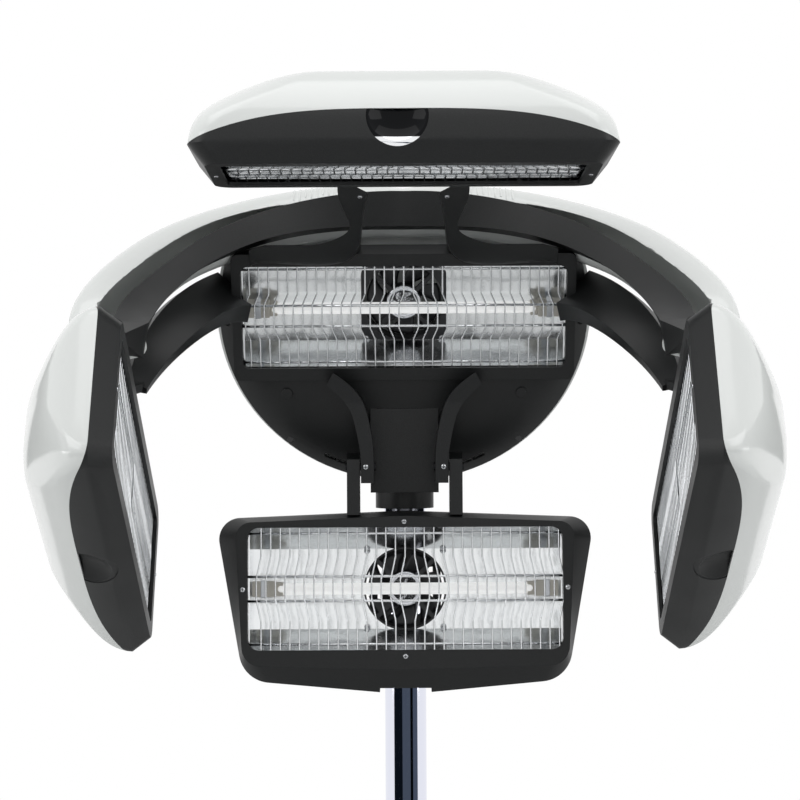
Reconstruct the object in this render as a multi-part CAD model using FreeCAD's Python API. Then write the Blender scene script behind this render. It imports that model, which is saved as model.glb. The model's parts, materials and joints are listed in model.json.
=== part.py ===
"""Hair color processor: five infrared lamps round a client's head, on a rolling stand.

Millimetres. +Z is up, +X is the viewer's right, +Y points away from the client.
The origin is on the floor under the column's axis. Each sub-part is one STEP file.
"""
import FreeCAD, Part
import math
import os
from FreeCAD import Matrix, Placement, Rotation, Vector as V

os.makedirs("parts", exist_ok=True)

# ---------------------------------------------------------------- driving dimensions
optical_height = 1300.0        # height of the head's reference axis above the floor
face_y = -100.0                # front plane of the centre and nape lamps

wall = 2.5                     # moulded walls
fit_gap = 0.35                 # between solids that move past each other
running_clearance = 0.05       # radial, shaft in hole
sheet = 0.8                    # reflector sheet

# windows of the lamps, with their wire grilles
grille_length = 300.0
grille_width = 105.0
centre_width = 100.0
nape_length = 292.0
nape_width = 113.0
grille_corner = 7.0
face_plate = 3.0

# lamp module: the outer form's border round the window at its rim and at its shoulder, then the
# crown's sections: height over the face, how far in from the shoulder, and corner radius
rim_border = (11.5, 13.5)
shoulder_border = (25.0, 20.5)
module_rim = (grille_length / 2.0 + rim_border[0], grille_width / 2.0 + rim_border[1])
module_shoulder = (grille_length / 2.0 + shoulder_border[0], grille_width / 2.0 + shoulder_border[1])
module_rim_height = 17.0
module_crown = ((39.0, 4.5, 2.0, 30.0), (58.0, 20.0, 12.0, 50.0), (73.0, 51.0, 27.0, 41.0),
                (82.0, 93.0, 45.0, 25.0))
module_depth = 86.0
module_corner = 16.0
parting_mid = 44.0             # height of the white and black joint at mid length
parting_tip = 17.0             # and at the tips
parting_power = 3.2            # how late the joint falls away towards the tips
grip_radius = 25.3             # round finger grip in the front wall
grip_height = 38.0             # of its centre over the face
grip_depth = 12.0              # how far its block reaches in from the shoulder
grip_dish = (42.0, 32.0, 6.0)  # its dish: radius, and centre out from the shoulder and up
top_grip_x = 5.0
side_grip_x = 8.0
scoop_radius = 62.0            # the dish in the cover above the grip
scoop_centre = (100.0, 108.0)  # across the lamp and over its face
vent_half = (2.2, 24.0)        # slots in the covers behind the fan
vent_pitch = 12.0
vent_count = 7

wire_radius = 0.75
wire_pitch = 8.9
wire_step = 4.5                # how far the middle of each wire is set out
rail_radius = 1.2
rail_offsets = (-47.0, -10.0, 10.0, 47.0)
grille_lap = 3.0               # how far wires reach behind the face plate
flange_width = (5.0, 5.0)      # the flange round the reflector's mouth, at ends and sides
post_radius = 2.5              # posts that hold the reflector on the face plate
post_place = 100.0             # and their distance from the middle
end_gap = 2.0                  # between the reflector's end walls and the window's ends

reflector_depth = 36.0
reflector_floor = 38.0         # half width of the reflector's flat back
fan_bore = 39.0
fan_window = (40.0, 37.5, 10.0)    # the centre lamp's square hole over its fan, and its corner
fan_rotor_radius = 35.5
fan_hub_radius = 16.0
fan_depth = 15.0
fan_blades = 7
tube_radius = 5.5
tube_margin = 25.0             # from the grille's end to the tube's end
tube_height = 20.0
ceramic_block = (22.0, 15.0, 13.0)

# where the lamps stand
top_face = V(0.0, face_y - 207.0, optical_height + 187.0)
top_tilt = 3.0
side_face_x = 225.0
side_face = V(-side_face_x, face_y - 190.0, optical_height - 73.0)
side_slope = 32.0
centre_face = V(0.0, face_y, optical_height + 76.0)
centre_tilt = 22.0
nape_face = V(0.0, face_y, optical_height - 174.0)
nape_tilt = 5.0

# nape lamp: corners of its face and of its shoulder as (x, y, radius), right half from the top
nape_flange = (2.0, 3.5)
nape_end = nape_length / 2.0
nape_side = nape_width / 2.0
nape_rim = ((0.0, nape_side + 10.5, 200.0), (nape_end + 11.5, nape_side + 4.5, 14.0),
            (nape_end + 4.5, -nape_side - 14.5, 18.0), (0.0, -nape_side - 18.0, 200.0))
nape_shoulder = ((0.0, nape_side + 16.0, 200.0), (nape_end + 31.0, nape_side + 9.0, 20.0),
                 (nape_end + 4.5, -nape_side - 28.0, 30.0), (0.0, -nape_side - 41.5, 200.0))
nape_rim_height = 16.0
nape_split = 34.0              # height of the joint between housing and back cover
nape_back = ((50.0, 0.96), (64.0, 0.80))
nape_post_place = 60.0
nape_notch = (24.0, 6.0)       # half width and height of the notch over the post

# hinges
pin_radius = 4.0
knuckle_radius = 8.0
knuckle_width = 12.0
pin_back = 10.0                # from a lamp's shoulder to its hinge axis
pin_height = 12.0              # of that axis over the lamp's face
top_knuckle = 47.0
top_lugs = (-34.0, 34.0)
side_knuckles = (-115.0, -34.0)
neck_inner = 41.7              # half distance between the nape lamp's two necks
nape_pin = V(0.0, face_y + 18.0, optical_height - 62.0)
web_half = 32.0                # plate between the nape lamp's arms
web_drop = 87.0
web_set_back = 20.0
web_thickness = 4.0
tilt_axle = V(0.0, 0.0, optical_height - 15.0)
tilt_axle_radius = 7.0

# head
disc_radius = 175.0
disc_centre = V(0.0, face_y + 5.0, optical_height + 74.0)
disc_cut = 58.0
dome_cut = 98.0
dome_profile = ((175.0, 34.0), (165.0, 54.0), (134.0, 79.0), (84.0, 93.0), (28.0, 97.5))
disc_profile = ((172.0, 20.0), (150.0, 9.0), (118.0, 2.0), (60.0, 0.0))
slot_half_width = 38.0
rim_height = 26.5
bezel_half = (grille_length / 2.0 + 8.5, centre_width / 2.0 + 12.0)
bezel_front = -3.9
lamp_y = 3.7
plate_y = -74.0
plate_z = 22.5
valley_line = ((0.0, 77.5, 43.0), (-60.0, 77.6, 39.0), (-113.0, 77.9, 15.3), (-148.0, 75.2, -15.0))

# arch: inner edge and outer edge of its black band, as height and depth from the head's axis
arch_inner = (V(0, 16, 162), V(-50, 13, 161), V(-113, -10, 152), V(-157, -45, 134),
              V(-188, -95, 110), V(-205, -140, 88), V(-214, -196, 66))
arch_outer = (V(0, 20, 195), V(-62, 14, 191), V(-134, -14, 172), V(-179, -58, 148),
              V(-208, -112, 121), V(-229, -158, 98), V(-243, -208, 66))
arch_depth = (52.0, 52.0, 52.0, 52.0, 50.0, 46.0, 36.0)
arch_flare = (8.0, 14.0, 25.0, 33.0, 37.0, 38.0, 32.0)
band_thickness = 6.0
strut_line = (V(-160, 8, 96), V(-186, -45, 83), V(-207, -100, 59), V(-220, -135, 36),
              V(-229, -157, 12.5))
strut_height = (48.0, 38.0, 32.0, 25.0, 17.0)
strut_depth = (44.0, 42.0, 36.0, 28.0, 18.0)

# stand
mast_radius = 20.0
column_radius = 25.0
column_top = 790.0
column_foot = 78.0
mast_foot = 450.0
mast_top = optical_height - 38.0
collar_radius = 33.0
collar_height = 52.0
carrier_radius = 28.0
carrier_foot = optical_height - 104.0
leg_reach = 290.0
leg_count = 5
hub_radius = 46.0
hub_height = 46.0
wheel_radius = 27.0
wheel_width = 14.0
wheel_gap = 12.0
caster_trail = 18.0
stem_radius = 5.5
leg_turn = -90.0
caster_top = 64.0
carrier_half = 32.0
barrel_radius = 22.0
panel_half = (62.0, 30.0)
panel_top = 103.0
button_radius = 6.0
button_y = -15.0
button_places = (-30.0, 0.0, 22.0)
inlet_place = (62.0, -66.0)
inlet_top = 100.0
inlet_length = 28.0
inlet_half = (15.0, 11.0)
inlet_corner = 2.5

# ---------------------------------------------------------------- helpers
X, Y, Z = V(1, 0, 0), V(0, 1, 0), V(0, 0, 1)
ORIGIN = V(0, 0, 0)


def save(name, *shapes):
    """Write one sub-part; several shapes go in as separate solids."""
    solids = [solid for shape in shapes for solid in shape.Solids]
    Part.makeCompound(solids).exportStep("parts/" + name + ".step")
    print(name, len(solids), "solids", round(sum(s.Volume for s in solids)), "mm3")


def stand(shape, origin, back, up):
    """Put a shape from its own frame into the object's: local z to back, local y to up."""
    side = up.cross(back)
    matrix = Matrix(side.x, up.x, back.x, origin.x, side.y, up.y, back.y, origin.y,
                    side.z, up.z, back.z, origin.z, 0, 0, 0, 1)
    moved = shape.copy()
    moved.transformShape(matrix)
    return moved


def block(low, high):
    size = [high[i] - low[i] for i in range(3)]
    return Part.makeBox(size[0], size[1], size[2], V(*low))


def rod(start, end, radius):
    return Part.makeCylinder(radius, (end - start).Length, start, end - start)


def fuse(shapes):
    return shapes[0].multiFuse(list(shapes[1:])).removeSplitter()


def rounded_wire(half_x, half_y, corner, height, centre_y=0.0):
    """A rounded rectangle, as eight edges, in the plane z = height."""
    corner = min(corner, 0.9 * half_x, 0.9 * half_y)
    edges = []
    bend = math.sqrt(0.5) * corner
    for sx, sy in ((1, 1), (-1, 1), (-1, -1), (1, -1)):
        cx, cy = sx * (half_x - corner), sy * (half_y - corner)
        along = V(cx + sx * corner, centre_y + cy, height)
        across = V(cx, centre_y + cy + sy * corner, height)
        middle = V(cx + sx * bend, centre_y + cy + sy * bend, height)
        ends = (along, across) if sx * sy > 0 else (across, along)
        edges.append(Part.Arc(ends[0], middle, ends[1]).toShape())
    wires = []
    for i, edge in enumerate(edges):
        start = edges[i - 1].Curve.value(edges[i - 1].LastParameter)
        wires.append(Part.LineSegment(start, edge.Curve.value(edge.FirstParameter)).toShape())
        wires.append(edge)
    return Part.Wire(wires)


def soft_wire(half, height, share=1.0, inset=0.0):
    """A closed wire of lines and arcs from the right half's (x, y, radius) corners."""
    corners = [(x, y - math.copysign(inset, y), r) if x == 0 else
               (x - inset, y - math.copysign(inset, y), r - inset) for x, y, r in half]
    corners += [(-x, y, r) for x, y, r in reversed(corners) if x > 0]
    points = [V(x * share, y * share, height) for x, y, r in corners]
    arcs = []
    for i, here in enumerate(points):
        before = (points[i - 1] - here).normalize()
        after = (points[(i + 1) % len(points)] - here).normalize()
        bend = before.getAngle(after) / 2.0
        radius = corners[i][2] * share
        middle = (before + after).normalize()
        cut = radius / math.tan(bend)
        arcs.append((here + before * cut, here + middle * (radius / math.sin(bend) - radius),
                     here + after * cut))
    edges = []
    for i, (start, middle, end) in enumerate(arcs):
        edges.append(Part.LineSegment(arcs[i - 1][2], start).toShape())
        edges.append(Part.Arc(start, middle, end).toShape())
    return Part.Wire(edges)


def rounded_slab(half_x, half_y, corner, low, high, centre_y=0.0):
    face = Part.Face(rounded_wire(half_x, half_y, corner, low, centre_y))
    return face.extrude(V(0, 0, high - low))


def extruded(points, vector):
    return Part.Face(Part.makePolygon(list(points) + [points[0]])).extrude(vector)


def mirrored(shape):
    return shape.mirror(ORIGIN, X)


# ---------------------------------------------------------------- lamp module
def module_form(inset):
    """The module's outer form, or its hollow when inset by the wall."""
    rim = rounded_wire(module_rim[0] - inset, module_rim[1] - inset, module_corner, -inset)
    length, width = module_shoulder
    levels = [(module_rim_height, 0.0, 0.0, module_corner)] + list(module_crown)
    sections = []
    for height, shorter, narrower, corner in levels:
        sections.append(rounded_wire(length - shorter - inset, width - narrower - inset, corner,
                                     height - inset * height / module_depth))
    shoulder = sections[0]
    lower = Part.makeLoft([rim, shoulder], True, True)
    upper = Part.makeLoft(sections, True, False)
    return fuse([lower, upper])


def below_parting():
    """Everything on the black side of the arched joint between cover and housing."""
    tip = module_shoulder[0]
    reach = tip + 25.0
    fall = parting_mid - parting_tip
    points = []
    for part in (-1.0, -0.85, -0.6, -0.3, 0.0, 0.3, 0.6, 0.85, 1.0):
        points.append(V(part * tip, 0, parting_mid - fall * abs(part) ** parting_power))
    curve = Part.BSplineCurve()
    curve.interpolate(points)
    left, right = V(-reach, 0, parting_tip - 16.0), V(reach, 0, parting_tip - 16.0)
    low_left, low_right = V(-reach, 0, -20.0), V(reach, 0, -20.0)
    edges = [curve.toShape()]
    for start, end in ((points[-1], right), (right, low_right), (low_right, low_left),
                       (low_left, left), (left, points[0])):
        edges.append(Part.LineSegment(start, end).toShape())
    face = Part.Face(Part.Wire(edges))
    face.translate(V(0, -120, 0))
    return face.extrude(V(0, 240, 0))


def grille(length, width, middle_step):
    """A chromed wire grille: wires across, each with its middle set out, and rails along."""
    half_length, half_width = length / 2.0, width / 2.0
    count = int((length - 14.0) / wire_pitch / 2)
    wires = []
    bends = ((half_width, 0), (0.50 * half_width, 0), (0.33 * half_width, 1))
    for i in range(-count, count + 1):
        x = i * wire_pitch
        shift = middle_step if i >= 0 else -middle_step
        path = [V(x + shift * set_out, y, 0) for y, set_out in bends]
        path += [V(p.x, -p.y, 0) for p in reversed(path)]
        rings = [Part.Wire(Part.makeCircle(wire_radius, corner, Y)) for corner in path]
        wires.append(Part.makeLoft(rings, True, True))
    touch = wire_radius + rail_radius
    rails = []
    for offset in rail_offsets:
        y = offset * width / grille_width
        rails.append(rod(V(-half_length, y, touch), V(half_length, y, touch), rail_radius))
    return wires + rails


def reflector(length, width, depth, square_hole):
    """A folded bright sheet with end walls and the fan's hole, round or square."""
    half, floor, top = width / 2.0, reflector_floor, depth
    outside = [V(0, -half, 0), V(0, -floor, top), V(0, floor, top), V(0, half, 0)]
    inside = [V(0, half - 1.2 * sheet, 0), V(0, floor - 0.5 * sheet, top - sheet),
              V(0, -floor + 0.5 * sheet, top - sheet), V(0, -half + 1.2 * sheet, 0)]
    trough = extruded(outside + inside, V(length, 0, 0))
    trough.translate(V(-length / 2.0, 0, 0))
    ends = []
    for x in (-length / 2.0, length / 2.0 - sheet):
        end = extruded(outside, V(sheet, 0, 0))
        end.translate(V(x, 0, 0))
        ends.append(end)
    body = fuse([trough] + ends)
    low, high = top - 12.0, top + 5.0
    if square_hole:
        return body.cut(rounded_slab(*fan_window, low, high))
    return body.cut(Part.makeCylinder(fan_bore, high - low, V(0, 0, low)))


def fan_frame(depth):
    """The fan's square frame with the four struts that carry its motor."""
    half = fan_bore + 2.0
    low, high = depth + 0.1, depth + fan_depth
    frame = rounded_slab(half, half, 8.0, low, high)
    frame = frame.cut(Part.makeCylinder(fan_bore - 1.5, fan_depth + 2, V(0, 0, low - 1)))
    hub = Part.makeCylinder(fan_hub_radius, 4.0, V(0, 0, low))
    struts = []
    for turn in (45, 135):
        bar = block((-fan_bore, -2.0, low), (fan_bore, 2.0, low + 3.0))
        bar.rotate(ORIGIN, Z, turn)
        struts.append(bar)
    spindle = Part.makeCylinder(2.0, 8.0, V(0, 0, low + 3.0))
    return fuse([frame, hub, spindle] + struts)


def fan_rotor(depth):
    low = depth + 0.1 + 4.0 + fit_gap
    high = depth + fan_depth - 1.0
    hub = Part.makeCylinder(fan_hub_radius, high - low, V(0, 0, low))
    blades = []
    for i in range(fan_blades):
        blade = block((fan_hub_radius - 2.0, -1.0, low + 2.0),
                      (fan_rotor_radius, 1.0, high - 1.0))
        blade.rotate(V(0, 0, (low + high) / 2.0), X, 35)
        blade.rotate(ORIGIN, Z, i * 360.0 / fan_blades)
        blades.append(blade)
    inside = Part.makeCylinder(fan_rotor_radius, high - low, V(0, 0, low))
    rotor = fuse([hub] + [blade.common(inside) for blade in blades])
    return rotor.cut(Part.makeCylinder(2.0 + running_clearance, 8.5, V(0, 0, low - 1)))


def tube_lamp(height, tube_length):
    """The quartz tube with a ceramic block at each end, on brackets to the reflector's floor."""
    half = tube_length / 2.0
    solids = [rod(V(-half, 0, height), V(half, 0, height), tube_radius)]
    for side in (-1, 1):
        length, width, depth = ceramic_block
        x = side * (half + length / 2.0)
        solids.append(block((x - length / 2.0, -width / 2.0, height - depth / 2.0),
                            (x + length / 2.0, width / 2.0, height + depth / 2.0)))
    return solids


# ---------------------------------------------------------------- a whole module in its own frame
grille_level = face_plate + wire_radius
reflector_level = grille_level + wire_radius + 2 * rail_radius + fit_gap
pin_line = -(module_shoulder[1] + pin_back)


def raised(shapes, height):
    moved = [shape.copy() for shape in shapes]
    for shape in moved:
        shape.translate(V(0, 0, height))
    return moved


def lamp_insides(length, width, flange_reach, square_hole=False):
    """Grille, reflector with fan frame, tube lamp and rotor, behind a face plate."""
    wires = grille(length + 2 * grille_lap, width + 2 * grille_lap, wire_step)
    mouth = width + grille_lap
    sheet_metal = reflector(length - end_gap, mouth, reflector_depth, square_hole)
    flange = rounded_slab(length / 2.0 + flange_reach[0], mouth / 2.0 + flange_reach[1], 3.0, 0, sheet)
    opening = rounded_slab((length - end_gap) / 2.0 - sheet, mouth / 2.0 - 1.2 * sheet, 1.0, -1, 2)
    sheet_metal = fuse([sheet_metal, flange.cut(opening)])
    bracket_top = reflector_depth - sheet
    tube_length = length - 2 * tube_margin
    lamp = tube_lamp(tube_height, tube_length)
    for side in (-1, 1):
        x = side * (tube_length + ceramic_block[0]) / 2.0
        lamp.append(block((x - 2.0, -5.0, tube_height + ceramic_block[2] / 2.0),
                          (x + 2.0, 5.0, bracket_top)))
    frame, rotor = fan_frame(reflector_depth), fan_rotor(reflector_depth)
    return {"grille": raised(wires, grille_level),
            "reflector": raised([sheet_metal, frame], reflector_level),
            "lamp": raised(lamp, reflector_level),
            "fan": raised([rotor], reflector_level)}


def face_bosses(width, post_x):
    """Posts from the face plate to the reflector's flange."""
    posts = []
    for x in (-post_x, post_x):
        for side in (-1, 1):
            y = side * (width / 2.0 + grille_lap + post_radius + 0.7)
            foot = V(x, y, face_plate)
            posts.append(rod(foot, foot + V(0, 0, reflector_level - face_plate), post_radius))
    return posts


def lug(x, y, height, wall_y):
    """A hinge lug from a wall out to the pin line."""
    barrel = rod(V(x - knuckle_width / 2.0, y, height), V(x + knuckle_width / 2.0, y, height),
                 knuckle_radius)
    low_y, high_y = min(y, wall_y), max(y, wall_y)
    web = block((x - knuckle_width / 2.0, low_y, height - knuckle_radius),
                (x + knuckle_width / 2.0, high_y, height + knuckle_radius))
    hole = rod(V(x - knuckle_width, y, height), V(x + knuckle_width, y, height),
               pin_radius + running_clearance)
    return fuse([barrel, web]), hole


def vent_slots(low):
    """A row of slots across a cover, from height low upwards."""
    first = -(vent_count - 1) / 2.0 * vent_pitch
    slots = []
    for i in range(vent_count):
        one = rounded_slab(vent_half[0], vent_half[1], vent_half[0] - 0.2, low, low + 60.0)
        slots.append(one.translated(V(first + i * vent_pitch, 0, 0)))
    return Part.makeCompound(slots)


def lamp_module(lug_places, grip_x, separate_grip):
    """A top or side lamp: black housing, white cover, grip and insides."""
    outer, hollow, black_side = module_form(0.0), module_form(wall), below_parting()
    plate = outer.common(block((-200, -120, 0), (200, 120, face_plate)))
    opening = rounded_slab(grille_length / 2.0, grille_width / 2.0, grille_corner, -1, face_plate + 1)
    front = module_shoulder[1]
    grip_end = V(grip_x, front + 20.0, grip_height)
    half_disc = rod(V(grip_x, front - grip_depth - 1.0, grip_height), grip_end, grip_radius)
    grip = rod(V(grip_x, front - grip_depth, grip_height), grip_end, grip_radius)
    dish_radius, dish_out, dish_up = grip_dish
    dish = Part.makeSphere(dish_radius, V(grip_x, front + dish_out, grip_height + dish_up))
    grip = grip.common(module_form(0.6)).common(black_side).cut(dish)
    walls = outer.common(black_side).cut(hollow).cut(half_disc)
    housing = fuse([walls, plate] + face_bosses(grille_width, post_place))
    housing = housing.cut(opening)
    for x in lug_places:
        body, hole = lug(x, pin_line, pin_height, -module_shoulder[1] + 3.0)
        housing = housing.fuse(body.cut(block((-300, -69.5, -5), (300, 100, 100)))).cut(hole)
    if not separate_grip:
        housing = fuse([housing, grip])
    scoop_middle = V(grip_x, *scoop_centre)
    cover = outer.cut(black_side)
    scoop = Part.makeSphere(scoop_radius + wall, scoop_middle)
    liner = scoop.cut(Part.makeSphere(scoop_radius, scoop_middle)).common(cover)
    cover = cover.cut(hollow).cut(scoop).fuse(liner)
    parts = lamp_insides(grille_length, grille_width, flange_width)
    parts.update({"housing": [housing], "shell": [cover.cut(vent_slots(module_depth - 26.0))],
                  "grip": [grip]})
    return parts


def placed(parts, origin, back, up):
    return {key: [stand(shape, origin, back, up) for shape in shapes]
            for key, shapes in parts.items()}


def tilted(angle):
    """Back and up directions of a lamp that faces the client, turned down by an angle."""
    a = math.radians(angle)
    return V(0, math.cos(a), math.sin(a)), V(0, -math.sin(a), math.cos(a))


# ---------------------------------------------------------------- nape lamp
def nape_form(inset, low):
    """The nape housing's flared front, or its hollow from height low when inset by the wall."""
    share = low / nape_rim_height
    start = [(p[0] + (q[0] - p[0]) * share, p[1] + (q[1] - p[1]) * share, p[2])
             for p, q in zip(nape_rim, nape_shoulder)]
    flare = Part.makeLoft([soft_wire(start, low, 1.0, inset),
                           soft_wire(nape_shoulder, nape_rim_height, 1.0, inset)], True, True)
    rest = Part.Face(soft_wire(nape_shoulder, nape_rim_height, 1.0, inset))
    return flare.fuse(rest.extrude(V(0, 0, nape_split - nape_rim_height + inset)))


def nape_cover(inset):
    wires = [soft_wire(nape_shoulder, nape_split, 1.0, inset)]
    for height, share in nape_back:
        wires.append(soft_wire(nape_shoulder, height - inset, share, inset))
    return Part.makeLoft(wires, True, True)


def nape_unit():
    """The black lamp under the head: front housing, back cover and the same insides."""
    front = nape_form(0.0, 0.0).cut(nape_form(wall, face_plate))
    front = front.common(block((-300, -300, -5), (300, 300, nape_split)))
    front = fuse([front] + face_bosses(nape_width, nape_post_place))
    opening = rounded_slab(nape_length / 2.0, nape_width / 2.0, grille_corner + 4.0,
                           -1, face_plate + 1)
    front = front.cut(opening)
    back = nape_cover(0.0).cut(nape_cover(wall))
    back = back.cut(vent_slots(nape_split + 6.0))
    low = nape_shoulder[-1][1]
    notch = block((-nape_notch[0], low - 20, -5), (nape_notch[0], low + nape_notch[1], 100))
    parts = lamp_insides(nape_length, nape_width, nape_flange)
    parts.update({"housing": [front.cut(notch)], "back": [back.cut(notch)]})
    return parts


def nape_necks(pin):
    """Two cheeks that rise from the nape housing to its hinge pins, outside the arms."""
    cheeks, holes = [], []
    for side in (-1, 1):
        inner, outer = side * neck_inner, side * (neck_inner + knuckle_width)
        low_x, high_x = min(inner, outer), max(inner, outer)
        top_z, foot_z = pin.z + 13.0, nape_face.z + nape_shoulder[0][1] - 5.0
        profile = [V(low_x, pin.y - 10, foot_z), V(low_x, pin.y + 18, foot_z),
                   V(low_x, pin.y + 14, top_z - 4), V(low_x, pin.y + 4, top_z),
                   V(low_x, pin.y - 8, top_z - 6)]
        cheeks.append(extruded(profile, V(high_x - low_x, 0, 0)))
        holes.append(rod(V(low_x - 1, pin.y, pin.z), V(high_x + 1, pin.y, pin.z),
                         pin_radius + running_clearance))
    return cheeks, holes


# ---------------------------------------------------------------- head
def disc_place(shape):
    back, up = tilted(centre_tilt)
    return stand(shape, disc_centre, back, up)


def head_line(points):
    """Points of the arch from head coordinates (x, depth, height) to the object's frame."""
    return [V(q.x, q.y + face_y, q.z + optical_height) for q in points]


def arch_sections(profile_at):
    """Closed wires across the arch from its middle to one end."""
    inner, outer = head_line(arch_inner), head_line(arch_outer)
    wires = []
    for i, start in enumerate(inner):
        up = outer[i] - start
        width = up.Length
        up.normalize()
        before = inner[max(i - 1, 0)] + outer[max(i - 1, 0)]
        after = inner[min(i + 1, len(inner) - 1)] + outer[min(i + 1, len(inner) - 1)]
        along = V(-1, 0, 0) if i == 0 else (after - before).normalize()
        back = along.cross(up)
        back.normalize()
        if i == 0:
            up = V(0, up.y, up.z)
        points = [start + up * a + back * d for a, d in profile_at(i, width)]
        wires.append(points)
    return wires


def closed_wire(points, smooth):
    """A wire through points: the smooth run as one curve, and a straight front."""
    if not smooth:
        return Part.makePolygon(points + [points[0]])
    curve = Part.BSplineCurve()
    curve.interpolate(points)
    front = Part.LineSegment(points[-1], points[0]).toShape()
    return Part.Wire([curve.toShape(), front])


def both_sides(half):
    return half.fuse(mirrored(half)).removeSplitter()


def arch_band():
    """The arch's black front band, one half."""
    def profile(i, width):
        return [(0.0, 0.0), (width, 0.0), (width, band_thickness), (0.0, band_thickness + 12.0)]
    wires = [closed_wire(points, False) for points in arch_sections(profile)]
    return Part.makeLoft(wires, True, False)


def arch_cover(inset):
    """The arch's white cover, one half, or its hollow when inset by the wall."""
    def profile(i, width):
        depth, flare = arch_depth[i] - inset, arch_flare[i] - inset
        shy = inset * 1.2
        start = band_thickness + (0.0 if inset == 0 else -1.0)
        return [(width - shy, start), (width + flare * 0.75, depth * 0.34),
                (width + flare, depth * 0.62), (width + flare * 0.45, depth * 0.92),
                (width * 0.45, depth), (shy, depth * 0.85), (shy, start + 12.5)]
    wires = [closed_wire(points, True) for points in arch_sections(profile)]
    return Part.makeLoft(wires, True, False)


def side_pin(u):
    """A point on the left lamp's hinge axis, and the axis along its free edge."""
    a = math.radians(side_slope)
    along = V(0, math.cos(a), -math.sin(a))
    down = V(0, -math.sin(a), -math.cos(a))
    return side_face + along * u + down * pin_line + V(-pin_height, 0, 0), along


def side_strut():
    """The lower arm from the disc to the rear hinge of the left lamp."""
    line = head_line(strut_line)
    wires = []
    for i, centre in enumerate(line):
        along = line[min(i + 1, len(line) - 1)] - line[max(i - 1, 0)]
        along.normalize()
        across = V(0, 0, 1) - along * along.z
        across.normalize()
        back = along.cross(across)
        back.normalize()
        h, d = strut_height[i] / 2.0, strut_depth[i] / 2.0
        shape = [(-0.7 * d, -h), (0.8 * d, -0.6 * h), (d, 0.7 * h), (0.5 * d, h), (-d, -0.3 * h)]
        wires.append(closed_wire([centre + back * y + across * z for y, z in shape], False))
    return Part.makeLoft(wires, True, False)


def knuckle_arm(u, section):
    """A hinge knuckle beside the lamp's lug at u, on a block that tapers from a section."""
    centre, along = side_pin(u)
    barrel_centre = centre + along * (knuckle_width + fit_gap)
    half = along * (knuckle_width / 2.0)
    barrel = rod(barrel_centre - half, barrel_centre + half, knuckle_radius)
    across = V(knuckle_radius - 2.0, 0, 0)
    end = [barrel_centre + half + across, barrel_centre + half - across,
           barrel_centre - half - across, barrel_centre - half + across]
    wires = [Part.makePolygon(q + [q[0]]) for q in (section, end)]
    arm = Part.makeLoft(wires, True, True)
    hole = rod(centre - along * 20, centre + along * 40, pin_radius)
    return barrel.fuse(arm), hole


def disc_solid(inset):
    """The round cover's outer form, filled behind, or its hollow when inset by the wall."""
    points = [(r - inset, h + inset) for r, h in disc_profile[:-1]] + [(60.0, inset), (0.0, inset)]
    curve = Part.BSplineCurve()
    curve.interpolate([V(r, 0, h) for r, h in points])
    rim, top = V(points[0][0], 0, points[0][1]), V(points[0][0], 0, rim_height)
    edges = [curve.toShape(), Part.LineSegment(V(0, 0, inset), V(0, 0, rim_height)).toShape(),
             Part.LineSegment(V(0, 0, rim_height), top).toShape(),
             Part.LineSegment(top, rim).toShape()]
    return turned(Part.Face(Part.Wire(edges)).revolve(ORIGIN, Z, 360), -90)


def dome_solid(inset):
    points = [(r - inset, h - inset * (0.4 if r > 150 else 1.0)) for r, h in dome_profile]
    points += [(0.0, dome_profile[-1][1] + 0.4 - inset)]
    curve = Part.BSplineCurve()
    curve.interpolate([V(r, 0, h) for r, h in points])
    rim = V(points[0][0], 0, points[0][1])
    low = rim_height
    edges = [curve.toShape(), Part.LineSegment(V(0, 0, points[-1][1]), V(0, 0, low)).toShape(),
             Part.LineSegment(V(0, 0, low), V(rim.x, 0, low)).toShape(),
             Part.LineSegment(V(rim.x, 0, low), rim).toShape()]
    return turned(Part.Face(Part.Wire(edges)).revolve(ORIGIN, Z, 360), -90)


def valley():
    """The hollow between the centre lamp's frame and the arch's band, one half."""
    wires = []
    for x, inner_y, inner_z in valley_line:
        level = lamp_y + bezel_half[1]
        points = [V(x, level - 3, bezel_front + 2), V(x, level + 3, bezel_front + 0.35 * inner_z + 3),
                  V(x, level + 7, 0.8 * inner_z), V(x, inner_y, inner_z),
                  V(x, inner_y + 4, inner_z + 8), V(x, level - 3, inner_z + 10)]
        wires.append(Part.makePolygon(points + [points[0]]))
    return Part.makeLoft(wires, True, True)


def lamp_frame():
    """The raised frame round the centre lamp's window."""
    half_x, half_y = bezel_half
    frame = rounded_slab(half_x, half_y, 7.0, bezel_front, 24.0, lamp_y)
    inside = rounded_slab(half_x - 3, half_y - 3, 5.0, bezel_front + face_plate, 60.0, lamp_y)
    window = rounded_slab(grille_length / 2.0, centre_width / 2.0, grille_corner,
                          bezel_front - 1, bezel_front + 10, lamp_y)
    return frame, inside, window


def slot():
    """Room for the carrier's neck as the head tilts."""
    top = (tilt_axle - disc_centre).dot(tilted(centre_tilt)[1])
    return block((-slot_half_width, -disc_radius - 5, -10), (slot_half_width, top + 2, 90))


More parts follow.
